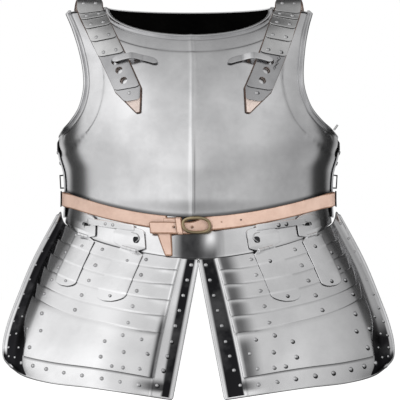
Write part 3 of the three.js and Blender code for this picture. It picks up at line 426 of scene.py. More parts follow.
def spline(points, at):
    """Uniform Catmull-Rom through points of any dimension."""
    points = np.asarray(points, float)
    last = len(points) - 1
    p = np.clip(np.asarray(at, float), 0, 1) * last
    i = np.minimum(p.astype(int), last - 1)
    t = (p - i)[..., None]
    p0, p1 = points[np.maximum(i - 1, 0)], points[i]
    p2, p3 = points[i + 1], points[np.minimum(i + 2, last)]
    a, b = (p2 - p0) * 0.5, (p3 - p1) * 0.5
    return (2 * p1 - 2 * p2 + a + b) * t ** 3 + (-3 * p1 + 3 * p2 - 2 * a - b) * t ** 2 + a * t + p1


def curve(points, at):
    """Centripetal Catmull-Rom, with its end points carried on in a straight line."""
    points = np.asarray(points, float)
    last = len(points) - 1
    padded = np.concatenate([[2 * points[0] - points[1]], points, [2 * points[-1] - points[-2]]])
    p = np.clip(np.asarray(at, float), 0, 1) * last
    i = np.minimum(p.astype(int), last - 1)
    t = (p - i)[..., None]
    p0, p1, p2, p3 = (padded[i + k] for k in range(4))

    def gap(a, b):
        return np.maximum(np.sum((b - a) ** 2, -1) ** 0.25, 1e-4)[..., None]

    d0, d1, d2 = gap(p0, p1), gap(p1, p2), gap(p2, p3)
    a = ((p1 - p0) / d0 - (p2 - p0) / (d0 + d1) + (p2 - p1) / d1) * d1
    b = ((p2 - p1) / d1 - (p3 - p1) / (d1 + d2) + (p3 - p2) / d2) * d1
    return (2 * p1 - 2 * p2 + a + b) * t ** 3 + (-3 * p1 + 3 * p2 - 2 * a - b) * t ** 2 + a * t + p1


# Meshes
def quads_of(nv, nu, flip):
    index = np.arange(nv * nu).reshape(nv, nu)
    a, b, c, d = index[:-1, :-1], index[:-1, 1:], index[1:, :-1], index[1:, 1:]
    order = (a, c, d, b) if flip else (a, b, d, c)
    return np.stack([q.ravel() for q in order], -1)


class Shape:
    """A mesh in the making: points in millimetres, each with its painted shade from 0 to 1, and faces, each
    face with the number of its material.
    """

    def __init__(self):
        self.points = np.zeros((0, 3))
        self.painted_shade = np.zeros(0)
        self.faces = []
        self.kinds = []

    def add(self, points, faces, kinds=None, painted_shade=None):
        base = len(self.points)
        self.points = np.concatenate([self.points, np.asarray(points, float).reshape(-1, 3)])
        count = len(self.points) - base
        self.painted_shade = np.concatenate([self.painted_shade, np.zeros(count) if painted_shade is None else painted_shade])
        self.faces += [[base + int(i) for i in f] for f in faces]
        self.kinds += kinds or [0] * len(faces)
        return self

    def plate(self, grids, thickness, roll=None, turns=(60, 0, -60), rim=0, painted_shades=None, inside=0):
        """A closed plate from grids of outer points (points, flip) that meet edge to edge.

        roll gives the radius of the rolled edge at each point of the rim, turns the angles of its rows; rim and
        inside are the numbers of the materials there.
        """
        # Each grid may carry painted shade, from 0 to 1, at its points.
        painted_shades = painted_shades or [np.zeros(p.shape[:2]) for p, _ in grids]
        painted_shade = np.concatenate([a.ravel() for a in painted_shades])
        points, quads, base = [], [], 0
        for p, flip in grids:
            quads.append(quads_of(p.shape[0], p.shape[1], flip) + base)
            points.append(p.reshape(-1, 3))
            base += points[-1].shape[0]
        points, quads = np.concatenate(points), np.concatenate(quads)
        _, first, inverse = np.unique(np.round(points, 3), axis=0, return_index=True, return_inverse=True)
        points, quads, painted_shade = points[first], inverse.reshape(-1)[quads], painted_shade[first]
        count = len(points)
        diagonals = points[quads[:, 2]] - points[quads[:, 0]], points[quads[:, 3]] - points[quads[:, 1]]
        normal = np.zeros_like(points)
        for k in range(4):
            np.add.at(normal, quads[:, k], np.cross(*diagonals))
        normal = unit(normal)

        a, b = quads.ravel(), quads[:, [1, 2, 3, 0]].ravel()
        a, b = a[a != b], b[a != b]
        edge = ~np.isin(a * count + b, b * count + a)
        after = dict(zip(a[edge], b[edge]))
        before = {j: i for i, j in after.items()}
        ring = np.array(list(after))
        along = points[[after[i] for i in ring]] - points[[before[i] for i in ring]]
        out = unit(np.cross(along, normal[ring]))
        radius = np.maximum(roll(points[ring]) if roll else np.zeros(len(ring)), thickness / 2)[:, None]
        centre = points[ring] + out * radius * 0.5 + normal[ring] * (radius - thickness)
        rings, extra = [ring], []
        for turn in np.radians(turns):
            rings.append(2 * count + len(ring) * len(extra) + np.arange(len(ring)))
            extra.append(centre + (out * math.cos(turn) + normal[ring] * math.sin(turn)) * radius)
        rings.append(count + ring)

        place = {i: k for k, i in enumerate(ring)}
        follow = np.array([place[after[i]] for i in ring])
        outer_faces = [f for f in (list(dict.fromkeys(q)) for q in quads.tolist()) if len(f) > 2]
        inner_faces = [[i + count for i in reversed(f)] for f in outer_faces]
        rim_faces = []
        for near, far in zip(rings, rings[1:]):
            rim_faces += np.stack([near, far, far[follow], near[follow]], -1).tolist()
        kinds = [0] * len(outer_faces) + [inside] * len(inner_faces) + [rim] * len(rim_faces)
        # Plain rims of a plate with painted shade are darkened with painted shade; rolled rims are not.
        rim_shade = np.where(radius[:, 0] > thickness / 2 + 1e-6, 0, RIM_SHADE) * painted_shade.any()
        shaded = np.concatenate([painted_shade, np.zeros(count), np.tile(rim_shade, len(extra))])
        everything = np.concatenate([points, points - normal * thickness] + extra)
        return self.add(everything, outer_faces + inner_faces + rim_faces, kinds, shaded)

    def tube(self, path, radius, sides=16, closed=False):
        path = np.asarray(path, float)
        ahead = np.roll(path, -1, 0) if closed else np.concatenate([path[1:], [2 * path[-1] - path[-2]]])
        behind = np.roll(path, 1, 0) if closed else np.concatenate([[2 * path[0] - path[1]], path[:-1]])
        along = unit(ahead - behind)
        side = np.cross(along[0], (0, 0, 1) if abs(along[0][2]) < 0.9 else (0, 1, 0))
        frames = []
        for direction in along:
            side = unit(side - direction * np.dot(side, direction))
            frames.append((side, np.cross(direction, side)))
        turn = np.linspace(0, 2 * math.pi, sides, endpoint=False)
        size = np.broadcast_to(np.asarray(radius, float), (len(path),))
        rings = [
            p + r * (np.cos(turn)[:, None] * a + np.sin(turn)[:, None] * b)
            for p, r, (a, b) in zip(path, size, frames)
        ]
        faces = []
        for i in range(len(path) if closed else len(path) - 1):
            j = (i + 1) % len(path)
            for k in range(sides):
                m = (k + 1) % sides
                faces.append([i * sides + k, i * sides + m, j * sides + m, j * sides + k])
        if not closed:
            faces.append(list(range(sides))[::-1])
            faces.append([(len(path) - 1) * sides + k for k in range(sides)])
        return self.add(np.concatenate(rings), faces)

    def make(self, name, body, slot, looks, stands_for=(), sharp=38.0):
        mesh = bpy.data.meshes.new(name)
        mesh.from_pydata((self.points / 1000).tolist(), [], self.faces)
        for look in looks:
            mesh.materials.append(look)
        mesh.polygons.foreach_set("material_index", self.kinds)
        # The painted shade goes into the mesh as a point attribute, read by the metal looks.
        if self.painted_shade.any():
            layer = mesh.attributes.new("painted_shade", "FLOAT", "POINT")
            layer.data.foreach_set("value", self.painted_shade.astype(np.float32))
        mesh.update()
        thing = bpy.data.objects.new(name, mesh)
        bpy.context.collection.objects.link(thing)
        return finish_piece(thing, body, stands_for, sharp)


def finish_piece(thing, body, stands_for=(), sharp=38.0):
    bpy.context.view_layer.objects.active = thing
    bpy.ops.object.select_all(action="DESELECT")
    thing.select_set(True)
    bpy.ops.object.mode_set(mode="EDIT")
    bpy.ops.mesh.select_all(action="SELECT")
    bpy.ops.mesh.normals_make_consistent(inside=False)
    bpy.ops.object.mode_set(mode="OBJECT")
    thing.data.shade_smooth()
    thing.data.set_sharp_from_angle(angle=math.radians(sharp))
    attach(thing, body)
    if stands_for:
        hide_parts(*stands_for)
    return thing


# Looks
def new_look(name):
    look = bpy.data.materials.new(name)
    look.use_nodes = True
    tree = look.node_tree
    return look, tree, tree.nodes["Principled BSDF"]


def node(tree, kind, inputs=None, **settings):
    made = tree.nodes.new(kind)
    for key, value in settings.items():
        setattr(made, key, value)
    for key, value in (inputs or {}).items():
        if isinstance(value, bpy.types.NodeSocket):
            tree.links.new(value, made.inputs[key])
        else:
            made.inputs[key].default_value = value
    return made


def ramp(tree, source, stops):
    made = node(tree, "ShaderNodeValToRGB", {"Fac": source})
    bar = made.color_ramp
    while len(bar.elements) < len(stops):
        bar.elements.new(0.5)
    for element, (place, value) in zip(bar.elements, stops):
        element.position = place
        element.color = (*value, 1) if isinstance(value, tuple) else (value, value, value, 1)
    return made.outputs["Color"]


def look_group(name, inputs, outputs):
    tree = bpy.data.node_groups.new(name, "ShaderNodeTree")
    for way, names in (("INPUT", inputs), ("OUTPUT", outputs)):
        for label in names:
            tree.interface.new_socket(label, in_out=way, socket_type="NodeSocketFloat")
    return tree, tree.nodes.new("NodeGroupInput"), tree.nodes.new("NodeGroupOutput")


def finish_group(tree, out, sockets):
    for label, socket in sockets.items():
        tree.links.new(socket, out.inputs[label])
    return tree


def wear_group():
    """Drawn scratches, cloudy wear and shallow waves, for any metal."""
    tree, given, out = look_group("wear", ("Cloud Scale", "Wave Scale"), ("Scratches", "Clouds", "Height"))
    where = node(tree, "ShaderNodeTexCoord").outputs["Object"]
    drawn = node(tree, "ShaderNodeMapping", {"Vector": where, "Scale": (900, 900, 26)})
    fine = node(tree, "ShaderNodeTexNoise", {"Vector": drawn.outputs[0], "Scale": 1.0, "Detail": 3.0})
    clouds = node(tree, "ShaderNodeTexNoise", {
        "Vector": where, "Scale": given.outputs["Cloud Scale"], "Detail": 5.0, "Roughness": 0.6})
    waves = node(tree, "ShaderNodeTexNoise", {
        "Vector": where, "Scale": given.outputs["Wave Scale"], "Detail": 1.0})
    scratched = node(tree, "ShaderNodeMath", {0: fine.outputs[0], 1: 0.012}, operation="MULTIPLY")
    height = node(tree, "ShaderNodeMath", {0: waves.outputs[0], 1: 0.9, 2: scratched.outputs[0]},
                  operation="MULTIPLY_ADD")
    return finish_group(tree, out, {
        "Scratches": fine.outputs[0], "Clouds": clouds.outputs[0], "Height": height.outputs[0]})


def hide_group():
    """Cloudy colour and pebbled grain, for any leather."""
    tree, given, out = look_group("hide", ("Cloud Scale", "Grain Scale"), ("Clouds", "Grain"))
    where = node(tree, "ShaderNodeTexCoord").outputs["Object"]
    clouds = node(tree, "ShaderNodeTexNoise", {
        "Vector": where, "Scale": given.outputs["Cloud Scale"], "Detail": 5.0, "Roughness": 0.65})
    grain = node(tree, "ShaderNodeTexVoronoi", {"Vector": where, "Scale": given.outputs["Grain Scale"]})
    return finish_group(tree, out, {"Clouds": clouds.outputs[0], "Grain": grain.outputs["Distance"]})


def metal(name, bright, dark, roughness, bump):
    """Steel or brass; the mesh's painted shade, from 0 to 1, turns it black."""
    look, tree, shader = new_look(name)
    wear = node(tree, "ShaderNodeGroup", {"Cloud Scale": 14.0, "Wave Scale": 9.0}, node_tree=WEAR)
    tone = ramp(tree, wear.outputs["Clouds"], ((0.36, dark), (0.62, bright)))
    # The mesh's painted shade mixes the tone towards black, in cloudy patches.
    painted_shade = node(tree, "ShaderNodeAttribute", attribute_name="painted_shade").outputs["Fac"]
    shade_clouds = node(tree, "ShaderNodeMapRange", {
        "Value": wear.outputs["Clouds"], "From Min": 0.3, "From Max": 0.7, "To Min": 0.92, "To Max": 1.1})
    share = node(tree, "ShaderNodeMath", {0: painted_shade, 1: shade_clouds.outputs[0]},
                 operation="MULTIPLY", use_clamp=True)
    shaded_tone = node(tree, "ShaderNodeMix", {"Factor": share.outputs[0], 6: tone, 7: (*PAINTED_SHADE_BLACK, 1)},
                   data_type="RGBA")
    rough = node(tree, "ShaderNodeMapRange", {
        "Value": wear.outputs["Clouds"], "From Min": 0.3, "From Max": 0.7,
        "To Min": roughness * 1.3, "To Max": roughness * 0.8})
    rougher = node(tree, "ShaderNodeMath", {
        0: wear.outputs["Scratches"], 1: roughness * 0.35, 2: rough.outputs[0]}, operation="MULTIPLY_ADD")
    relief = node(tree, "ShaderNodeBump", {
        "Height": wear.outputs["Height"], "Strength": bump, "Distance": 0.001})
    for label, socket in (("Base Color", shaded_tone.outputs[2]), ("Roughness", rougher.outputs[0]),
                          ("Normal", relief.outputs[0])):
        tree.links.new(socket, shader.inputs[label])
    shader.inputs["Metallic"].default_value = 1.0
    return look


def leather(name, light, dark, roughness):
    look, tree, shader = new_look(name)
    hide = node(tree, "ShaderNodeGroup", {"Cloud Scale": 38.0, "Grain Scale": 900.0}, node_tree=HIDE)
    tone = ramp(tree, hide.outputs["Clouds"], ((0.34, dark), (0.66, light)))
    relief = node(tree, "ShaderNodeBump", {
        "Height": hide.outputs["Grain"], "Strength": 0.25, "Distance": 0.0004})
    tree.links.new(tone, shader.inputs["Base Color"])
    tree.links.new(relief.outputs[0], shader.inputs["Normal"])
    shader.inputs["Roughness"].default_value = roughness
    return look


# The black that painted shade turns steel to.
PAINTED_SHADE_BLACK = (0.018, 0.018, 0.02)
WEAR = wear_group()
HIDE = hide_group()
STEEL = metal("polished steel", (0.82, 0.82, 0.83), (0.68, 0.68, 0.69), 0.17, 0.10)
FITTINGS = metal("fittings steel", (0.80, 0.80, 0.80), (0.6, 0.6, 0.6), 0.24, 0.2)
BRIGHT = metal("bright steel", (0.95, 0.95, 0.96), (0.84, 0.84, 0.85), 0.17, 0.10)
DULL = metal("dull steel", (0.54, 0.54, 0.55), (0.42, 0.42, 0.43), 0.24, 0.2)
RIVETS = metal("rivet steel", (0.72, 0.72, 0.73), (0.5, 0.5, 0.51), 0.12, 0.1)
INSIDE = metal("black inside", (0.035, 0.033, 0.032), (0.015, 0.014, 0.014), 0.5, 0.3)
# Dark steel for the strap wire, belt anchors and side loops, and the black of the painted shadows round rivets
# and of the leaves' painted holes.
DARK_STEEL_AND_SHADE = metal("dark steel and painted shade", (0.07, 0.07, 0.075), (0.03, 0.03, 0.03), 0.45, 0.3)
BRASS = metal("dull brass", (0.55, 0.45, 0.28), (0.34, 0.27, 0.17), 0.34, 0.3)
TAN = leather("tan leather", (0.60, 0.43, 0.35), (0.50, 0.34, 0.27), 0.62)
TAN_EDGE = leather("leather edge", (0.30, 0.17, 0.11), (0.16, 0.085, 0.055), 0.7)
PALE = leather("pale leather", (0.62, 0.52, 0.47), (0.46, 0.38, 0.34), 0.6)
PALE_EDGE = leather("dark leather edge", (0.12, 0.07, 0.05), (0.05, 0.035, 0.03), 0.7)


# Rivets: a dome and a dark ring of painted shadow, shifted down and sideways, at each point of a small mesh,
# their axis along the point's direction
def rivet_tree():
    tree = bpy.data.node_groups.new("rivet heads", "GeometryNodeTree")
    for label, kind in (("Geometry", "Geometry"), ("Radius", "Float"), ("Rise", "Float"), ("Seed", "Int"),
                        ("Material", "Material"), ("Painted Shadow", "Material"), ("Painted Shadow Size", "Vector"),
                        ("Painted Shadow Shift", "Vector")):
        tree.interface.new_socket(label, in_out="INPUT", socket_type="NodeSocket" + kind)
    tree.interface.new_socket("Geometry", in_out="OUTPUT", socket_type="NodeSocketGeometry")
    given = tree.nodes.new("NodeGroupInput")
    out = tree.nodes.new("NodeGroupOutput")
    dome = node(tree, "GeometryNodeMeshUVSphere", {"Segments": 18, "Rings": 10, "Radius": 1.0})
    size = node(tree, "ShaderNodeCombineXYZ", {
        "X": given.outputs["Radius"], "Y": given.outputs["Radius"], "Z": given.outputs["Rise"],
    })
    vary = node(tree, "FunctionNodeRandomValue", data_type="FLOAT")
    vary.inputs[2].default_value = 0.92
    vary.inputs[3].default_value = 1.06
    tree.links.new(given.outputs["Seed"], vary.inputs["Seed"])
    scaled = node(tree, "ShaderNodeVectorMath", {0: size.outputs[0], "Scale": vary.outputs[1]},
                  operation="SCALE")
    out_way = node(tree, "GeometryNodeInputNamedAttribute", {"Name": "out"}, data_type="FLOAT_VECTOR")
    turned = node(tree, "FunctionNodeAlignRotationToVector", {"Vector": out_way.outputs[0]}, axis="Z")
    below = node(tree, "GeometryNodeSetPosition", {
        "Geometry": given.outputs["Geometry"], "Offset": given.outputs["Painted Shadow Shift"]})
    both = node(tree, "GeometryNodeJoinGeometry")
    for points, scale, paint in ((below.outputs[0], given.outputs["Painted Shadow Size"], "Painted Shadow"),
                                 (given.outputs["Geometry"], scaled.outputs[0], "Material")):
        copies = node(tree, "GeometryNodeInstanceOnPoints", {
            "Points": points, "Instance": dome.outputs[0], "Rotation": turned.outputs[0], "Scale": scale})
        real = node(tree, "GeometryNodeRealizeInstances", {"Geometry": copies.outputs[0]})
        painted = node(tree, "GeometryNodeSetMaterial", {
            "Geometry": real.outputs[0], "Material": given.outputs[paint]})
        tree.links.new(painted.outputs[0], both.inputs[0])
    tree.links.new(both.outputs[0], out.inputs["Geometry"])
    return tree


RIVET_TREE = rivet_tree()
# The painted shadow under each rivet head: its size and shift as shares of the head's radius, and its rise in
# millimetres.
SHADOW_RING_SIZE, SHADOW_RING_SHIFT, SHADOW_RING_RISE = 1.25, 0.3, 0.35


def spot(at, height):
    """A point and the direction out of the surface there; at(height) gives the surface's point."""
    base = np.asarray(at(height), float)
    return base, unit(np.asarray(at(height + 1.0), float) - base)


def rivets(name, spots, size, body, look=None, seed=1):
    radius, rise = size
    mesh = bpy.data.meshes.new(name)
    mesh.from_pydata([tuple(p / 1000) for p, _ in spots], [], [])
    way = mesh.attributes.new("out", "FLOAT_VECTOR", "POINT")
    way.data.foreach_set("vector", np.array([d for _, d in spots], np.float32).ravel())
    thing = bpy.data.objects.new(name, mesh)
    bpy.context.collection.objects.link(thing)
    modifier = thing.modifiers.new("heads", "NODES")
    modifier.node_group = RIVET_TREE
    ring, shift = radius * SHADOW_RING_SIZE / 1000, radius * SHADOW_RING_SHIFT / 1000
    values = {
        "Radius": radius / 1000, "Rise": rise / 1000, "Seed": seed, "Material": look or RIVETS, "Painted Shadow": DARK_STEEL_AND_SHADE,
        "Painted Shadow Size": (ring, ring, SHADOW_RING_RISE / 1000), "Painted Shadow Shift": (shift, 0, -shift),
    }
    for item in RIVET_TREE.interface.items_tree:
        if item.in_out == "INPUT" and item.name in values:
            modifier[item.identifier] = values[item.name]
    solid = bpy.data.meshes.new_from_object(thing.evaluated_get(bpy.context.evaluated_depsgraph_get()))
    thing.modifiers.remove(modifier)
    thing.data = solid
    solid.name = name
    return finish_piece(thing, body)


# Breastplate and backplate
def neck_point(share, drop, height):
    angle = share * math.pi / 2
    return NECK_HALF_WIDTH * np.sin(angle), -drop + height * (1 - np.cos(angle))


def armhole(at):
    p = spline(ARMHOLE, at)
    return p[..., 1] * ARMPIT_HALF_WIDTH, -p[..., 0] * TORSO_DROP


def distance_to(x, z, px, pz):
    gap = (x[..., None] - px) ** 2 + (z[..., None] - pz) ** 2
    return np.sqrt(gap.min(-1))


def plain_place(across, z):
    """Distance from the middle plane of a point on the front."""
    wide, _, _, square = sizes(np.abs(across) <= 1, z)
    return wide * np.sin((math.pi / 2) * np.abs(across)) ** (2 / square)


def border_drop(across, z):
    """Height and painted shade of the front: the border is struck below the field, and the ridge has a bead;
    the groove and the border step get dark lines of painted shade.
    """
    x = plain_place(across, z)
    turns = np.linspace(0, 1, 90)
    neck = distance_to(x, z, *neck_point(turns, NECK_DROP, NECK_HEIGHT))
    arm = distance_to(x, z, *armhole(turns))
    past_border = np.minimum(neck - NECK_BORDER, arm - ARM_BORDER)
    inside = smoothstep(past_border, -BORDER_SOFT, BORDER_SOFT)
    groove = np.exp(-((np.minimum(neck, arm) - GROOVE_IN) / GROOVE_HALF) ** 2)
    line = np.exp(-(past_border / BORDER_SOFT) ** 2)
    bead = RIDGE_BEAD * np.exp(-(x / RIDGE_BEAD_HALF) ** 2)
    height = bead - BORDER_STEP * (1 - inside) - GROOVE_DEPTH * groove
    return height, GROOVE_SHADE * groove + BORDER_SHADE * line


def breastplate():
    _, armpit = armhole(np.array(0.0))
    vs = rows_of((0, ARM_FROM, 34), (ARM_FROM, 0.56, 22), (0.56, NECK_FROM, 30), (NECK_FROM, 1, 52))
    us = rows_of((0, 0.03, 10), (0.03, 0.3, 28), (0.3, 0.76, 24), (0.76, 1, 40))
    neck_share = np.clip((vs - NECK_FROM) / (1 - NECK_FROM), 0, 1)
    nx, nz = neck_point(neck_share, NECK_DROP, NECK_HEIGHT)
    low = vs <= NECK_FROM + 1e-9
    inner_a = np.where(low, 0, across_of(nx, nz))
    inner_z = np.where(low, lerp(-TORSO_DROP, -NECK_DROP, vs / NECK_FROM), nz)
    ax, az = armhole(np.clip((vs - ARM_FROM) / (1 - ARM_FROM), 0, 1))
    side_low = vs <= ARM_FROM + 1e-9
    outer_a = np.where(side_low, 1, across_of(ax, az))
    outer_z = np.where(side_low, lerp(lower_edge(1), armpit, vs / ARM_FROM), az)
    across = lerp(inner_a[:, None], outer_a[:, None], us)
    z = lerp(inner_z[:, None], outer_z[:, None], us)
    z = lerp(lower_edge(across), z, np.minimum(1, vs / ARM_FROM)[:, None])
    height, lines = border_drop(across, z)
    # Painted shade along the breastplate's lower edge.
    lowest = WAIST_SHADE * (1 - smoothstep(z - lower_edge(across), *WAIST_SHADE_RISE))
    shade = np.maximum(lines, lowest)
    # A dark line of painted shade just beside the ridge, low down, on one half only.
    beside = np.exp(-((plain_place(across, z) - RIDGE_SHADE_OUT) / RIDGE_SHADE_HALF) ** 2)
    beside = RIDGE_SHADE * beside * smoothstep(-z, *RIDGE_SHADE_DROP)
    grids = [(on_torso(side * across, z, height), side < 0) for side in (1, -1)]
    shoulder = -ARMHOLE[-1, 0] * TORSO_DROP - 1
    arm_end, _ = armhole(np.array(1.0))

    def roll(p):
        x = np.abs(p[:, 0] - sway(1.0, p[:, 2]))
        size = lerp(ROLL_TIP, 1.0, np.clip((p[:, 2] - armpit) / 12, 0, 1)) * ROLL_RADIUS
        flat = (p[:, 2] < armpit - 1) | ((p[:, 2] > shoulder) & (x > NECK_HALF_WIDTH + 4) & (x < arm_end - 4))
        return np.where(flat, 0, size)

    turns = (120, 96, 72, 48, 24, 0, -24, -48, -72, -100)
    shape = Shape().plate(grids, PLATE, roll, turns, painted_shades=[np.maximum(shade, beside), shade], inside=1)
    shape.make("polished_breastplate", "cuirass", "polished_steel", [STEEL, INSIDE], ["breastplate"])


def backplate():
    height = PLATE + LAP_GAP
    _, deep, _, square = (float(v) for v in sizes(np.array(True), np.array(-TORSO_DROP * 0.8)))
    lap = math.asin((LAP_LENGTH / deep) ** (square / 2)) / (math.pi / 2)
    top = float(armhole(np.array(0.0))[1]) - BACK_TOP_GAP
    vs = rows_of((0, ARM_FROM, 34), (ARM_FROM, 1, 66))
    us = rows_of((0, 8 / 9, 64), (8 / 9, 1, 10))
    neck_share = np.clip((vs - NECK_FROM) / (1 - NECK_FROM), 0, 1)
    nx, nz = neck_point(neck_share, BACK_NECK_DROP, BACK_NECK_HEIGHT)
    low = vs <= NECK_FROM + 1e-9
    inner_a = np.where(low, 2, across_of(nx, nz, False))
    inner_z = np.where(low, lerp(-BACK_SIDE_DROP, -BACK_NECK_DROP, vs / NECK_FROM), nz)
    s = np.clip((vs - ARM_FROM) / (1 - ARM_FROM), 0, 1)
    ax, az = armhole(lerp(BACK_ARMHOLE_FROM, 1, s))
    turn = smoothstep(s, 0, 0.06)
    side_low = vs <= ARM_FROM + 1e-9
    arm_a = across_of(ax, az, False) + ROLL_CLEARANCE * (1 - s) ** 4
    outer_a = np.where(side_low, 1 - lap, lerp(1 - lap, arm_a, turn))
    outer_z = np.where(side_low, lerp(-BACK_SIDE_DROP, top, vs / ARM_FROM), lerp(top, az, turn))
    across = lerp(inner_a[:, None], outer_a[:, None], us)
    z = lerp(inner_z[:, None], outer_z[:, None], us)
    grids = [(on_torso(side * across, z, height), side > 0) for side in (1, -1)]
    shape = Shape().plate(grids, PLATE, inside=1)
    shape.make("polished_backplate", "cuirass", "polished_steel", [STEEL, INSIDE], ["backplate"])
    heads = [spot(lambda h, a=side * SIDE_RIVET_ACROSS, b=z: on_torso(a, b, h), height)
             for side in (1, -1) for z in SIDE_RIVETS]
    rivets("side_rivets", heads, HEAD_SIZES["side"], "cuirass", seed=5)


# Skirt
def skirt_height(across, z):
    drop = np.clip((lower_edge(across) - z) / (lower_edge(across) - skirt_edge(across)), 0, 1)
    flare = SKIRT_FLARE * (1 - smoothstep(np.abs(across), 0.72, 0.9))
    return lerp(-(PLATE + LAP_GAP), flare, drop ** 1.5)


def on_skirt(across, z, height=0.0):
    p = on_torso(across, z, skirt_height(across, z) + height)
    share = np.abs(p[..., 0] - LEAN) / HOLLOW_HALF_WIDTH
    drop = np.clip((-z - TORSO_DROP) / SKIRT_DROP, 0, 1)
    hollow = HOLLOW_DEPTH * np.cos(np.minimum(share, 1) * math.pi / 2) ** 2 * np.sin(drop * math.pi / 2)
    p[..., 1] += hollow
    return p


def on_skirt_at(out, z, height):
    return on_skirt(across_of(out, z), z, height)


def skirt_end():
    corner = across_of(SKIRT_END_SHARE * ARMPIT_HALF_WIDTH, -TORSO_DROP - SKIRT_DROP + SKIRT_RISE)
    return float(corner) * SKIRT_END_SHORTER


def skirt():
    end = skirt_end()
    half = rows_of((0, float(across_of(HOLLOW_HALF_WIDTH, -TORSO_DROP - SKIRT_DROP)), 26), (0.2, end, 46))
    half = np.unique(np.round(half, 6))
    u = np.concatenate([-half[:0:-1], half])[None, :]
    v = np.linspace(0, 1, 34)[:, None]
    z = lerp(lower_edge(u) + SKIRT_UNDERLAP, skirt_edge(u) - SKIRT_TURN, v)
    u = np.broadcast_to(u, z.shape)
    p = on_skirt(u, z)
    across = (p[..., 0] - LEAN) / HOLLOW_HALF_WIDTH
    drop = np.clip((-z - TORSO_DROP) / SKIRT_DROP, 0, 1)
    # The glint is a painted highlight: a spot where the flute's painted shade is cleared.
    middle, low, wide, high = GLINT
    glint = GLINT_CLEARS * np.exp(-((across - middle) / wide) ** 2 - ((drop - low) / high) ** 2)
    hollow = FLUTE_SHADE * (1 - smoothstep(np.abs(across), *FLUTE_FADES)) * (1 - glint)
    # The skirt's ends are darkened with painted shade.
    flank = FLANK_SHADE * smoothstep(np.abs(p[..., 0] - LEAN), *FLANK_OUT)
    shape = Shape().plate([(p, True)], PLATE, painted_shades=[np.maximum(hollow, flank)])
    shape.make("polished_skirt", "cuirass", "polished_steel", [BRIGHT], ["skirt"])


# Straps
def strap_place(side, q, offset):
    out = STRAP_TOP_OUT - np.where(q > 0, STRAP_SLANT * q, 0) - offset
    tilt = np.clip((q - STRAP_BRIDGE) / STRAP_BRIDGE, 0, 1) * STRAP_TILT * offset
    return side * out, -np.abs(q) + tilt


def strap_base(side, q, offset):
    q, offset = np.broadcast_arrays(np.asarray(q, float), np.asarray(offset, float))

    def face(front, down):
        x, z = strap_place(side, down, offset)
        return torso(across_of(x, z, front), z)

    a, b = face(True, np.full(q.shape, STRAP_BRIDGE)), face(False, np.full(q.shape, -STRAP_BRIDGE))
    s = np.clip(0.5 - 0.5 * q / STRAP_BRIDGE, 0, 1)[..., None]
    crown = lerp(a, b, 0.5)
    crown[..., 2] = STRAP_CROWN
    bridge = a * (1 - s) ** 2 + crown * 2 * s * (1 - s) + b * s * s
    on_front, on_back = face(True, np.maximum(q, STRAP_BRIDGE)), face(False, np.minimum(q, -STRAP_BRIDGE))
    q = q[..., None]
    return np.where(q >= STRAP_BRIDGE, on_front, np.where(q <= -STRAP_BRIDGE, on_back, bridge))


def strap_half_width(q):
    taper = np.clip((q - STRAP_TAPER_FROM) / (STRAP_LENGTH - STRAP_TAPER_FROM), 0, 1)
    return lerp(STRAP_HALF_WIDTH, STRAP_TIP_HALF_WIDTH, taper)


def on_strap(side, q, cross, height):
    offset = cross * strap_half_width(q)
    behind = np.clip(0.5 - 0.5 * q / STRAP_BRIDGE, 0, 1)

    def f(a, b):
        return strap_base(side, b, a)

    n = normal_of(f, offset, q, 0.5, 0.5) * side
    rise = np.asarray(SEAT_GAP + behind * (PLATE + LAP_GAP) + height)[..., None]
    return strap_base(side, q, offset) + n * rise


def bored(thing, side, holes, radius):
    """Cuts round holes through a finished mesh."""
    cutter = Shape()
    for q in holes:
        low, high = on_strap(side, np.array(q), 0.0, -2.0), on_strap(side, np.array(q), 0.0, 14.0)
        cutter.tube([low, high], radius, 28)
    mesh = bpy.data.meshes.new("cutter")
    mesh.from_pydata((cutter.points / 1000).tolist(), [], cutter.faces)
    tool = bpy.data.objects.new("cutter", mesh)
    bpy.context.collection.objects.link(tool)
    modifier = thing.modifiers.new("holes", "BOOLEAN")
    modifier.operation = "DIFFERENCE"
    modifier.object = tool
    modifier.solver = "EXACT"
    cut = bpy.data.meshes.new_from_object(thing.evaluated_get(bpy.context.evaluated_depsgraph_get()))
    thing.modifiers.remove(modifier)
    thing.data = cut
    bpy.data.objects.remove(tool)
    cut.shade_smooth()
    cut.set_sharp_from_angle(angle=math.radians(38))


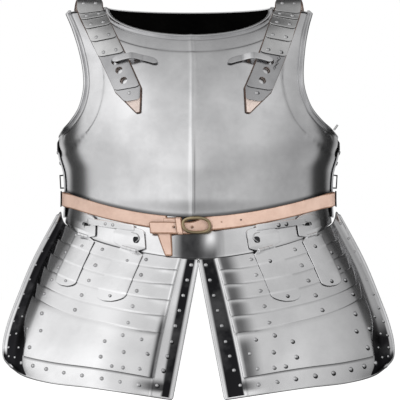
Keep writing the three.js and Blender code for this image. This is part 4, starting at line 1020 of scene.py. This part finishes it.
def strap(side, name):
    holes = [share * STRAP_LENGTH for share in STRAP_HOLES]
    q = rows_of((-STRAP_BACK_LENGTH, -STRAP_BRIDGE, 16), (-STRAP_BRIDGE, STRAP_BRIDGE, 14),
                (STRAP_BRIDGE, STRAP_TAPER_FROM, 46), (STRAP_TAPER_FROM, STRAP_LENGTH, 14))
    cross = np.linspace(-1, 1, 9)
    leather_points = on_strap(side, q[:, None], cross[None, :], LEATHER)
    shape = Shape().plate([(leather_points, side < 0)], LEATHER, rim=1)
    thing = shape.make("strap_" + name, "cuirass", "tan_leather", [PALE, PALE_EDGE],
                       ["strap_leather_" + name])
    bored(thing, side, holes, HOLE_RADIUS + LEATHER_HOLE_WIDER)
    start = -STRAP_BACK_LENGTH + 4
    heads = []
    for i, share in enumerate(SCALE_ENDS):
        end = share * STRAP_LENGTH
        low = start if i == 0 else start - SCALE_OVERLAP
        q = np.linspace(low, end, 40 if i == 0 else 14)
        cross = np.linspace(-0.98, 0.98, 15)
        corner = SCALE_CORNER * np.abs(cross) ** 8
        fall = smoothstep(q, end - 6, end)[:, None] * corner[None, :]
        along = q[:, None] - fall
        lift = SCALE_GAP + SCALE_LIFT * (along - low) / (end - low)
        points = on_strap(side, along, cross[None, :], LEATHER + lift + SCALE_THICKNESS)
        scale = Shape().plate([(points, side < 0)], SCALE_THICKNESS)
        label = name + "_" + SCALE_NAMES[i]
        look = DULL if i >= FIRST_DULL_SCALE else FITTINGS
        made = scale.make("scale_" + label, "cuirass", "fittings_steel", [look], ["strap_scale_" + label])
        if SCALE_NAMES[i] == "pierced":
            bored(made, side, holes, HOLE_RADIUS)
        places = {"first": FIRST_SCALE_RIVETS, "pierced": (), "end": ((end - END_SCALE_RIVET_IN, 0),)}
        pair = [(end - SCALE_RIVET_IN, off) for off in (SCALE_RIVET_OFF, -SCALE_RIVET_OFF)]
        for q0, c0 in places.get(SCALE_NAMES[i], pair):
            top = LEATHER + SCALE_GAP + SCALE_LIFT * (q0 - low) / (end - low) + SCALE_THICKNESS
            heads.append(spot(lambda h, q0=q0, c0=c0: on_strap(side, np.array(float(q0)), c0, h), top - 0.1))
        start = end
    rivets("strap_rivets_" + name, heads, HEAD_SIZES["strap"], "cuirass", seed=3)


def swivel_hook(side, name):
    hole = STRAP_HOLES[0] * STRAP_LENGTH
    end_x, end_z = strap_place(side, hole, 0.0)
    edge = STRAP_TOP_OUT - STRAP_SLANT * hole - STRAP_HALF_WIDTH
    over = SEAT_GAP + LEATHER + SCALE_GAP + SCALE_LIFT + SCALE_THICKNESS + 0.8
    outer = abs(float(end_x)) + 1
    u = np.linspace(HOOK_INNER_OUT, outer, 40)
    height = lerp(0.5, over, smoothstep(u, edge - 26, edge - 5)) + HOOK_THICKNESS
    middle = float(end_z) + HOOK_BOW * np.sin(math.pi * (u - HOOK_INNER_OUT) / (outer - HOOK_INNER_OUT))
    taper = np.sqrt(np.clip(0.1 + np.minimum(u - HOOK_INNER_OUT, outer - u) / 6, 0, 1))
    z = middle[:, None] + np.linspace(-1, 1, 5)[None, :] * (HOOK_HALF_WIDTH * taper)[:, None]
    points = on_torso(across_of(side * u[:, None] + 0 * z, z), z, height[:, None] + 0 * z)
    shape = Shape().plate([(points, side < 0)], HOOK_THICKNESS)
    peg_across = across_of(float(end_x) - side * 2, float(end_z))
    peg = [on_torso(peg_across, float(end_z), h) for h in (1.2, over + HOOK_THICKNESS - 0.4)]
    shape.tube(peg, HOOK_PEG_RADIUS, 16)
    shape.make("catch_hook_" + name, "cuirass", "fittings_steel", [RIVETS], ["swivel_hook_" + name])
    pivot = HOOK_INNER_OUT + HOOK_PIVOT_IN
    pivot_z = float(end_z) + HOOK_BOW * math.sin(math.pi * HOOK_PIVOT_IN / (outer - HOOK_INNER_OUT))
    pivot_a = across_of(side * pivot, pivot_z)
    if side > 0:
        wire = [on_strap(side, np.array(hole + q), -0.55 + 0.35 * c, over - SEAT_GAP + 0.8)
                for c, q in STRAP_WIRE]
        wire = Shape().tube(wire, STRAP_WIRE_RADIUS, 8)
        wire.make("strap_wire_" + name, "cuirass", "dark_steel", [DARK_STEEL_AND_SHADE])
    head = spot(lambda h: on_torso(pivot_a, pivot_z, h), 2.6)
    rivets("hook_rivet_" + name, [head], HEAD_SIZES["hook"], "cuirass")


# Belt
def belt_middle(across):
    return lower_edge(across) - BELT_WIDTH / 2 - 1.5


def belt_seat(across, up):
    out = np.minimum(1, np.abs(across))
    front = skirt_height(out, belt_middle(out) + up * BELT_WIDTH / 2)
    return lerp(front, PLATE + LAP_GAP, smoothstep(np.abs(across), 0.74, 0.88)) + BELT_GAP


def on_belt(across, up, height):
    z = belt_middle(across) + up * BELT_WIDTH / 2
    return on_torso(across, z, belt_seat(across, up) + height)


def strip(name, points, flip, thickness, replaced, looks):
    shape = Shape().plate([(points, flip)], thickness, rim=len(looks) - 1)
    return shape.make(name, "cuirass", "tan_leather", looks, replaced)


def belt():
    up = np.linspace(-1, 1, 7)[:, None]

    def reach(out):
        return float(across_of(out, -TORSO_DROP))

    u = np.linspace(-BELT_END, reach(-RIGHT_BELT_OUT), 90)[None, :]
    shape = Shape().plate([(on_belt(u + 0 * up, up + 0 * u, BELT_THICKNESS), False)], BELT_THICKNESS, rim=1)
    out = np.linspace(-RIGHT_BELT_OUT - 3, BUCKLE_SHIFT - BUCKLE_HALF_LENGTH - 3, 14)[None, :]
    z = np.linspace(TAB_LOW, TAB_HIGH, 4)[:, None]
    tab = on_skirt_at(out + 0 * z, z + 0 * out, LEATHER_GAP + BELT_THICKNESS)
    shape.plate([(tab, False)], BELT_THICKNESS, rim=1)
    shape.make("belt_right_half", "cuirass", "tan_leather", [TAN, TAN_EDGE], ["belt_right"])

    first = np.linspace(BELT_END, reach(BUCKLE_OUT + 8), 80)
    out = np.linspace(BUCKLE_OUT + 2, -TONGUE_OUT, 50)[None, :]
    s = smoothstep(-out, -BUCKLE_OUT - 2, 6)
    z = lerp(belt_middle(0.0), TONGUE_MIDDLE, s) + up * lerp(BELT_WIDTH, TONGUE_WIDTH, s) / 2
    rise = smoothstep(-out, KEEPER_OUT + KEEPER_HALF_WIDTH, RIGHT_BELT_OUT - 4)
    over = lerp(LEATHER_GAP, BELT_OVER, rise) + BELT_THICKNESS
    run = on_skirt_at(out + 0 * z, z, over + 0 * z)
    flank = on_belt(first[None, :] + 0 * up, up + 0 * first[None, :], BELT_THICKNESS)
    strip("belt_left_half", np.concatenate([flank, run], 1), True, BELT_THICKNESS,
          ["belt_left"], [TAN, TAN_EDGE])

    v = np.linspace(0, 1, 18)[:, None]
    across = np.linspace(-1, 1, 7)[None, :]
    half = lerp(BELT_WIDTH / 2, TIP_HALF_WIDTH, v ** 1.4)
    out = lerp(-TIP_TOP_OUT, -TIP_END_OUT, v) + across * half
    z = lerp(TIP_TOP, TIP_END, v) + 0 * out
    strip("belt_hanging_tip", on_skirt_at(out, z, LEATHER_GAP + BELT_THICKNESS + 0 * z), True, BELT_THICKNESS,
          ["belt_tip"], [TAN, TAN_EDGE])

    v = np.array([-1.1, -1.06, -1, -0.94, 0, 0.94, 1, 1.06, 1.1])[:, None]
    out = np.linspace(-KEEPER_OUT - KEEPER_HALF_WIDTH, -KEEPER_OUT + KEEPER_HALF_WIDTH, 6)[None, :]
    z = (TAB_HIGH + TONGUE_MIDDLE - TONGUE_WIDTH / 2) / 2 + v * KEEPER_HALF_HEIGHT + 0 * out
    height = lerp(BELT_OVER + 0.3, LEATHER_GAP, smoothstep(np.abs(v), 0.95, 1.09)) + KEEPER_THICKNESS
    strip("belt_loop", on_skirt_at(out + 0 * z, z, height + 0 * out), False, KEEPER_THICKNESS,
          ["belt_keeper"], [TAN, TAN_EDGE])

    turn = np.linspace(0, 2 * math.pi, 64, endpoint=False)
    x, z = (np.sign(part) * np.abs(part) ** BUCKLE_SQUARE for part in (np.cos(turn), np.sin(turn)))
    x, z = x * BUCKLE_HALF_LENGTH + BUCKLE_SHIFT, z * BUCKLE_HALF_HEIGHT + BUCKLE_MIDDLE
    oval = on_skirt_at(x, z, BELT_OVER + LEATHER_GAP / 2 + BUCKLE_WIRE)
    ring = Shape().tube(oval, BUCKLE_WIRE * 1.2, 14, closed=True)
    ring.make("buckle", "cuirass", "brass", [BRASS], ["buckle_frame"])

    # The belt's holes are not cut: small dark domes of leather-edge colour stand for them as painted shade.
    holes = [spot(lambda h, x=x: on_belt(across_of(np.array(x), np.array(-TORSO_DROP)), 0.0, h), top)
             for x, top in BELT_HOLES]
    holes += [spot(lambda h, x=x: on_skirt_at(np.array(x), np.array(TONGUE_MIDDLE + 1.5), h), top)
              for x, top in TONGUE_HOLES]
    rivets("belt_holes", holes, HEAD_SIZES["belt hole"], "cuirass", TAN_EDGE, seed=13)

    width = BELT_TAB_WIDTH / (math.pi * ARMPIT_HALF_WIDTH)
    for side, name in SIDES:
        u = np.linspace(1 - width, 1 + width, 12)[None, :]
        v = np.linspace(-1.2, 1.2, 9)[:, None]
        points = on_belt(side * u + 0 * v, v + 0 * u, BELT_THICKNESS + 0.4 + PLATE)
        Shape().plate([(points, side < 0)], PLATE).make(
            "belt_anchor_" + name, "cuirass", "dark_steel", [DARK_STEEL_AND_SHADE], ["belt_tab_" + name])


# Hinges and tassets
def edge_across(out):
    across = np.full(np.shape(out), 0.5)
    for _ in range(12):
        across = across_of(out, skirt_edge(across))
    return across


def hinge_line(side):
    def point(out):
        across = edge_across(np.array(out))
        return on_torso(side * across, skirt_edge(across) - TASSET_GAP / 2, HINGE_HEIGHT)

    outer, inner = point(OUTER_HINGE_OUT), point(INNER_HINGE_OUT)
    return {"outer": outer, "inner": inner, "along": unit(inner - outer)}


def tasset_curves(side):
    end = skirt_end()
    outs = np.array([TASSET_MIDDLE_GAP / 2, 45, 80, INNER_HINGE_OUT, 142, OUTER_HINGE_OUT, 200])
    across = edge_across(outs)
    upper = list(on_torso(across, skirt_edge(across) - TASSET_GAP))
    corner = on_torso(end, skirt_edge(end))
    tip = corner + (TASSET_TIP_OUT, TASSET_TIP_OUT, TASSET_TIP_RISE)
    upper += [corner + (TASSET_GAP, 0, -TASSET_GAP / 2), tip]
    foot = upper[0] + (TASSET_INNER_SLANT, -TASSET_KICK, -TASSET_DROP)
    outer = tip + TASSET_OUTER * (TASSET_SPREAD, -TASSET_DROP, -TASSET_DROP)
    along, bow, sag = TASSET_LOWER.T[:, :, None]
    lower = lerp(foot, outer[-1], along) - TASSET_DROP * (bow * (0, 1, 0) + sag * (0, 0, 1))
    flip = np.array([side, 1, 1])
    shift = np.array([LEAN, 0, 0])
    upper, lower, outer = ((np.array(p) - shift) * flip + shift for p in (upper, lower, outer))
    return {"upper": upper, "lower": lower, "inner": np.array([upper[0], lower[0]]), "outer": outer}


TASSETS = {side: tasset_curves(side) for side, _ in SIDES}


def tasset_base(side, u, v):
    edges = TASSETS[side]
    u, v = np.broadcast_arrays(np.clip(u, 0, 1), np.clip(v, 0, 1))
    a, b = u[..., None], v[..., None]
    p = curve(edges["upper"], u) * (1 - b) + curve(edges["lower"], u) * b
    p = p + lerp(edges["inner"][0], edges["inner"][1], b) * (1 - a) + curve(edges["outer"], v) * a
    p = p - edges["upper"][0] * (1 - a) * (1 - b) - edges["upper"][-1] * a * (1 - b)
    return p - edges["lower"][0] * (1 - a) * b - edges["lower"][-1] * a * b


def on_tasset(side, u, v, height=0.0):
    n = normal_of(lambda a, b: tasset_base(side, a, b), u, v, 0.01, 0.01) * -side
    return tasset_base(side, u, v) + n * np.asarray(height, float)[..., None]


def lame_at(u, v):
    """Which false lame a point lies on, and how far down it."""
    index = np.zeros(np.broadcast(u, v).shape, int)
    low, high = np.zeros(index.shape), np.ones(index.shape)
    lines = [start - climb * u for start, climb in LAME_LINES]
    for k, line in enumerate(lines):
        index = np.where(v >= line, k + 1, index)
    for k, line in enumerate(lines):
        low = np.where(index == k + 1, line, low)
        high = np.where(index == k, line, high)
    return index, np.clip((v - low) / (high - low), 0, 1)


def border_inner(v):
    """Where the field ends towards the inner edge."""
    return BORDER_SIDE + BORDER_WIDENS * v


def relief(u, v):
    """Height of the false lames, each swelling towards its lower edge, inside their borders."""
    index, share = lame_at(u, v)
    swell = np.where(index < LAST_LAME - 1, LAME_STEP * share * (1 - smoothstep(share, 0.94, 1.0)), 0)
    wedge = WEDGE * lame_start(u, v) * lame_top(index, share)
    bead = BEAD_RISE * np.exp(-((u - border_inner(v)) / 0.006) ** 2)
    return (FIELD_RISE + swell + wedge) * field_at(u, v, index, share) + bead


def field_edge(index, share, v):
    """Where the field ends towards the outer edge; the lames' ends are serrated."""
    serrated = np.where(index < LAST_LAME - 1, SERRATION * share, 0)
    return BORDER_OUTER - BORDER_NARROWS * smoothstep(v, 0.38, 0.62) - serrated


def field_at(u, v, index, share):
    """1 on the raised field of false lames and 0 on the borders."""
    inner, edge = border_inner(v), field_edge(index, share, v)
    across = smoothstep(u, inner - 0.006, inner + 0.004) * (1 - smoothstep(u, edge - 0.003, edge + 0.006))
    return across * (index != LAST_LAME)


def lame_start(u, v):
    inner = border_inner(v)
    return smoothstep(u, inner, inner + 0.02) * (1 - smoothstep(u, inner + 0.03, inner + 0.11))


def lame_top(index, share):
    return np.where((index > 0) & (index < LAST_LAME), np.exp(-(share / 0.16) ** 2), 0)


def tasset_painted_shade(side, u, v):
    """Painted shade on a tasset, how dark each part is: its borders, the painted shadows below the lames and
    the corners.
    """
    index, share = lame_at(u, v)
    inner, edge = border_inner(v), field_edge(index, share, v)
    off_rim = smoothstep(u, 0.006, 0.014)

    channel = off_rim * (1 - smoothstep(u, inner - 0.016, inner - 0.006))
    outer = smoothstep(u, edge + 0.002, edge + 0.01) * (1 - smoothstep(u, 0.955, 0.97))
    corner = smoothstep(u, 0.74, 0.84) * smoothstep(v, 0.7, 0.8) * (1 - smoothstep(v, 0.95, 0.975))
    foot = 0.9 * off_rim * (1 - smoothstep(u, 0.08, 0.22))
    foot = foot * smoothstep(v, 0.85, 0.92) * (1 - smoothstep(v, 0.95, 0.985))
    # Painted shadows under the lower edge of each false lame.
    under = np.where((index > 0) & (index < LAST_LAME), np.exp(-(share / 0.05) ** 2), 0)
    under = under * (0.12 + 0.5 * (1 - smoothstep(u, 0.12, 0.3)) + 0.35 * smoothstep(u, 0.6, 0.8))
    below = 0.8 * np.where(index == LAST_LAME, 1 - smoothstep(share, 0.02, 0.06), 0) * (u > inner) * (u < edge)
    parts = [corner, foot, under * field_at(u, v, index, share), below]
    if side > 0:
        parts.append(channel)
        parts.append(outer * lerp(0.35, 1.0, smoothstep(v, 0.35, 0.6)))
        # Painted shadow in a wedge where each lame starts.
        parts.append(0.8 * lame_start(u, v) * (1 - lame_top(index, share)) * (index < LAST_LAME))
        parts.append(0.2 * smoothstep(u, 0.5, 0.72))
    else:
        parts.append(channel * (1 - smoothstep(u, 0.044, 0.058)))
        parts.append(outer)
        beside = 0.95 * np.exp(-((u - inner - 0.01) / 0.013) ** 2)
        parts.append(beside * smoothstep(v, 0.3, 0.5) * (index != LAST_LAME))
    return np.maximum.reduce(parts)


def tasset(side, name):
    u = rows_of((0, 0.07, 14), (0.07, 0.13, 26), (0.13, 0.74, 44), (0.74, 0.86, 34), (0.86, 1, 18))
    lines = [start - climb * u for start, climb in LAME_LINES]
    stops = np.vstack([0 * u, *lines, 0 * u + 1])
    runs = []
    for k, rows in enumerate(LAME_ROWS):
        share = np.concatenate([[0.001], np.linspace(0.03, 0.9, rows), [0.95, 0.98, 0.9995]])
        runs.append(lerp(stops[k][None, :], stops[k + 1][None, :], share[:, None]))
    v = np.vstack(runs)
    v[0], v[-1] = 0, 1
    u = np.broadcast_to(u[None, :], v.shape)
    top_edge = curve(TASSETS[side]["upper"], np.linspace(0, 1, 160))

    def roll(p):
        near_top = np.sqrt(((p[:, None, :] - top_edge[None]) ** 2).sum(-1)).min(-1)
        return np.where(near_top < 3, 0, TASSET_ROLL)

    shape = Shape().plate([(on_tasset(side, u, v, relief(u, v)), side > 0)], PLATE, roll,
                          turns=(110, 80, 50, 20, -10, -40, -70, -100), painted_shades=[tasset_painted_shade(side, u, v)])
    body = "tasset_" + name
    for label, (size, table) in TASSET_RIVETS.items():
        heads = []
        for a, b in table:
            top = float(relief(np.array(a), np.array(b)))
            heads.append(spot(lambda h, a=a, b=b: on_tasset(side, np.array(a), np.array(b), h), top - 0.05))
        rivets("tasset_%s_rivets_%s" % (label, name), heads, size, body, seed=7)
    shape.make("embossed_tasset_" + name, body, "polished_steel", [BRIGHT], [body], sharp=50)


def on_hinge_leaf(side, x, z, h):
    """A point over the middle of an upper leaf, at the height of its bulge."""
    across = across_of(np.array(x), np.array(z))
    seat = max(float(skirt_height(across, z)), 0) + LEAF_GAP + LEAF + LEAF_BULGE
    return on_torso(side * across, np.array(z), seat + h)


def painted_keyhole(side, label, middle_x, middle_z, row):
    """A dark patch of painted shade where an upper leaf's hole is, and the staple's wire through it."""
    _, _, half_wide, half_high, wire = row
    sides = np.arange(KEYHOLE_SIDES)
    turn = 2 * math.pi * sides / KEYHOLE_SIDES
    bulge = 1 + 0.12 * np.sin(2 * turn) ** 2
    out, up = half_wide * bulge * np.cos(turn), half_high * bulge * np.sin(turn)
    points = []
    for h in (0.6, -0.4):
        points.append(on_hinge_leaf(side, middle_x, middle_z, h))
        points += [on_hinge_leaf(side, middle_x + dx, middle_z + dz, h) for dx, dz in zip(out, up)]
    ahead, low = (sides + 1) % KEYHOLE_SIDES, KEYHOLE_SIDES + 1
    faces = [[0, 1 + i, 1 + j] for i, j in zip(sides, ahead)]
    faces += [[low, low + 1 + j, low + 1 + i] for i, j in zip(sides, ahead)]
    faces += [[1 + i, low + 1 + i, low + 1 + j, 1 + j] for i, j in zip(sides, ahead)]
    Shape().add(points, faces).make("painted_keyhole_" + label, "cuirass", "dark_steel", [DARK_STEEL_AND_SHADE])
    bends = curve(np.array(wire, float), np.linspace(0, 1, 16))
    path = [on_hinge_leaf(side, middle_x + dx, middle_z + dz, h) for dx, dz, h in bends]
    Shape().tube(path, STAPLE_RADIUS, 10).make("staple_" + label, "cuirass", "fittings_steel", [FITTINGS])


def hinge(side, name, row):
    place, out, half, barrel, rise, arch, reach, drift, point = row
    line = hinge_line(side)
    middle, along = line[place], line["along"]
    knuckle = barrel / 3

    def on(t):
        return middle + along * np.asarray(t, float)[..., None]

    def edge(x):
        return skirt_edge(edge_across(x))

    label = name + "_" + place
    u = np.linspace(-1, 1, 25)
    v = rows_of((0, 0.99, 14), (0.99, 1, 1))
    x = out + u * half
    top = edge(np.array(out)) + rise - arch * (1 - np.sqrt(1 - 0.94 * u * u))
    z = lerp(top[None, :], edge(x)[None, :] + TASSET_GAP, v[:, None])
    across = across_of(x[None, :] + 0 * z, z)
    points = on_torso(side * across, z, np.maximum(skirt_height(across, z), 0) + LEAF_GAP + LEAF)
    points[-1] = on(np.clip(-u * half, -barrel, barrel))
    upper = Shape().plate([(points, side < 0)], LEAF)
    for low, high in ((-barrel, -knuckle - HINGE_PLAY / 2), (knuckle + HINGE_PLAY / 2, barrel)):
        upper.tube([on(low), on(high)], HINGE_RADIUS, BARREL_SIDES)
    hole = HINGE_HOLES[place]
    painted_keyhole(side, label, out + hole[0], float(edge(np.array(out))) + hole[1], hole)
    upper.make("upper_leaf_" + label, "cuirass", "fittings_steel", [BRIGHT], ["hinge_upper_" + label])

    steps = np.linspace(0, 1, 400)
    outs = np.abs(curve(TASSETS[side]["upper"], steps)[:, 0] - LEAN)
    b = np.concatenate([[0], np.linspace(0.06, 1, 60)])[:, None]
    a = np.linspace(-1, 1, 15)[None, :]
    width = half * 0.9 * np.sqrt(np.maximum(0, 1 - b ** 3)) + point * b ** 3
    round_end = np.sqrt(np.maximum(0, 1 - np.maximum(0, (b - 0.9) / 0.1) ** 2 * 0.75))
    x = out + drift * b + a * np.minimum(width, barrel + 4) * round_end
    u = np.interp(x, outs, steps)
    v = b * reach / TASSET_DROP + 0 * x
    highest = FIELD_RISE + LAME_STEP
    seat = lerp(highest, np.minimum(relief(u, v), highest), LEAF_FOLLOWS)
    points = on_tasset(side, u, v, seat + LEAF_GAP + LEAF)
    points[0] = on(np.clip(-a[0] * half, -barrel, barrel))
    lower = Shape().plate([(points, side > 0)], LEAF)
    lower.tube([on(-knuckle + HINGE_PLAY / 2), on(knuckle - HINGE_PLAY / 2)], HINGE_RADIUS, BARREL_SIDES)
    body = "tasset_" + name
    lower.make("lower_leaf_" + label, body, "fittings_steel", [BRIGHT], ["hinge_lower_" + label])
    heads = []
    for down, off in LEAF_RIVETS:
        u0 = np.array(float(np.interp(out + drift * down + off * half, outs, steps)))
        v0 = np.array(down * reach / TASSET_DROP)
        heads.append(spot(lambda h, u0=u0, v0=v0: on_tasset(side, u0, v0, h), highest + LEAF_GAP + LEAF))
    rivets("leaf_rivets_" + label, heads, HEAD_SIZES["leaf"], body, seed=9)


def catch_place(out, up):
    """Where a point on the face of a catch bar lies: across, z and height."""
    share = (out - CATCH_INNER_OUT) / (CATCH_OUTER_OUT - CATCH_INNER_OUT)
    z = lerp(CATCH_INNER_DROP, CATCH_OUTER_DROP, share) + up
    across = across_of(out + 0 * z, z)
    height = LEAF_GAP * 3 + LEAF + np.maximum(skirt_height(across, z), 0) + CATCH_THICKNESS
    return across, z, height


def catch_bar(side, name):
    out = np.linspace(CATCH_INNER_OUT, CATCH_OUTER_OUT, 40)[None, :]
    across, z, height = catch_place(out, np.linspace(-1, 1, 5)[:, None] * CATCH_HALF_WIDTH)
    shape = Shape().plate([(on_torso(side * across, z, height), side < 0)], CATCH_THICKNESS)
    shape.make("catch_strip_" + name, "cuirass", "fittings_steel", [BRIGHT], ["catch_bar_" + name])
    heads = []
    for out in CATCH_RIVETS:
        across, z, height = catch_place(np.array(out), 0.0)
        heads.append(spot(lambda h, a=across, z=z: on_torso(side * a, z, h), float(height)))
    rivets("catch_rivets_" + name, heads, HEAD_SIZES["catch"], "cuirass", seed=11)


breastplate()
backplate()
skirt()
belt()
for side, name in SIDES:
    strap(side, name)
    swivel_hook(side, name)
    tasset(side, name)
    for row in HINGES:
        hinge(side, name, row)
    catch_bar(side, name)

for node_name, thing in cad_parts.items():
    if not thing.hide_render:
        thing.data.materials.clear()
        thing.data.materials.append(DARK_STEEL_AND_SHADE if node_name.startswith("side_loop") else FITTINGS)

# Stage
bpy.ops.mesh.primitive_plane_add(size=14, location=(0, 3.0, -0.66))
floor = bpy.context.object
floor.name = "floor"
pale, _, pale_shader = new_look("pale floor")
for label, value in (("Base Color", (0.92, 0.92, 0.92, 1)), ("Roughness", 0.9),
                     ("Emission Color", (1, 1, 1, 1)), ("Emission Strength", 0.6)):
    pale_shader.inputs[label].default_value = value
floor.data.materials.append(pale)
floor.visible_glossy = False


def area_light(name, place, size, power):
    lamp = bpy.data.lights.new(name, "AREA")
    lamp.shape = "RECTANGLE"
    lamp.size, lamp.size_y = size
    lamp.energy = power
    thing = bpy.data.objects.new(name, lamp)
    bpy.context.collection.objects.link(thing)
    thing.location = place
    thing.rotation_euler = (LIT_POINT - Vector(place)).to_track_quat("-Z", "Y").to_euler()
    thing.visible_glossy = False


LIT_POINT = Vector((0, 0, -0.3))
# Columns: place in metres, size, watts.
area_light("key", (-2.2, -2.6, 1.2), (1.6, 2.4), 32)
area_light("fill", (2.4, -2.6, 0.4), (2.0, 2.0), 54)
area_light("top", (0, -0.6, 2.6), (2.4, 2.4), 20)

# The studio that the steel mirrors: brightness by direction, from wearer's right to left, front to back, and
# bottom to top. The camera itself sees white.
LEFT_RIGHT = (
    (0.0, 0.82), (0.14, 0.84), (0.22, 0.98), (0.27, 0.92), (0.32, 0.7), (0.44, 0.64), (0.5, 0.6), (0.57, 0.5),
    (0.65, 0.6), (0.7, 0.58), (0.78, 0.62), (0.86, 0.54), (0.93, 0.42), (1.0, 0.42))
FRONT_BACK = ((0.0, 1.0), (0.52, 1.0), (0.62, 0.1), (0.84, 0.06), (0.92, 0.6), (1.0, 1.0))
DOWN_UP = (
    (0.0, 0.15), (0.1, 0.3), (0.22, 0.66), (0.33, 1.04), (0.42, 1.04), (0.5, 0.9), (0.58, 0.9), (0.68, 1.16),
    (0.75, 1.2), (0.84, 0.96), (0.9, 0.9), (1.0, 0.7))
world = bpy.data.worlds.new("studio")
bpy.context.scene.world = world
world.use_nodes = True
air = world.node_tree
air.nodes.clear()
way = node(air, "ShaderNodeTexCoord").outputs["Generated"]
light = None
for direction, stops in (((1, 0, 0), LEFT_RIGHT), ((0, 1, -0.15), FRONT_BACK), ((0, 0, 1), DOWN_UP)):
    along = node(air, "ShaderNodeVectorMath", {0: way, 1: direction}, operation="DOT_PRODUCT")
    place = node(air, "ShaderNodeMapRange", {
        "Value": along.outputs["Value"], "From Min": -1.0, "From Max": 1.0})
    shade = ramp(air, place.outputs[0], stops)
    if light is not None:
        shade = node(air, "ShaderNodeMix", {"Factor": 1.0, 6: light, 7: shade},
                     data_type="RGBA", blend_type="MULTIPLY").outputs[2]
    light = shade
seen = node(air, "ShaderNodeLightPath").outputs["Is Camera Ray"]
shown = node(air, "ShaderNodeMix", {"Factor": seen, 6: light, 7: (1.0, 1.0, 1.0, 1)}, data_type="RGBA")
glow = node(air, "ShaderNodeBackground", {"Color": shown.outputs[2], "Strength": 1.0})
sky = node(air, "ShaderNodeOutputWorld")
air.links.new(glow.outputs[0], sky.inputs["Surface"])

view = bpy.context.scene.view_settings
view.view_transform = "Standard"
view.look = "None"

# Camera, in metres: SEEN_WIDTH of the plane through TARGET fills the frame.
TARGET = Vector((0.0184, -0.12, -0.312))
DISTANCE = 14.0
SEEN_WIDTH = 0.640
SENSOR = 36
ELEVATION = math.radians(0.4)
lens = bpy.data.cameras.new("camera")
lens.sensor_width = SENSOR
lens.lens = SENSOR * DISTANCE / SEEN_WIDTH
camera = bpy.data.objects.new("camera", lens)
bpy.context.collection.objects.link(camera)
camera.location = TARGET + Vector((0, -math.cos(ELEVATION), math.sin(ELEVATION))) * DISTANCE
camera.rotation_euler = (TARGET - camera.location).to_track_quat("-Z", "Y").to_euler()
bpy.context.scene.camera = camera
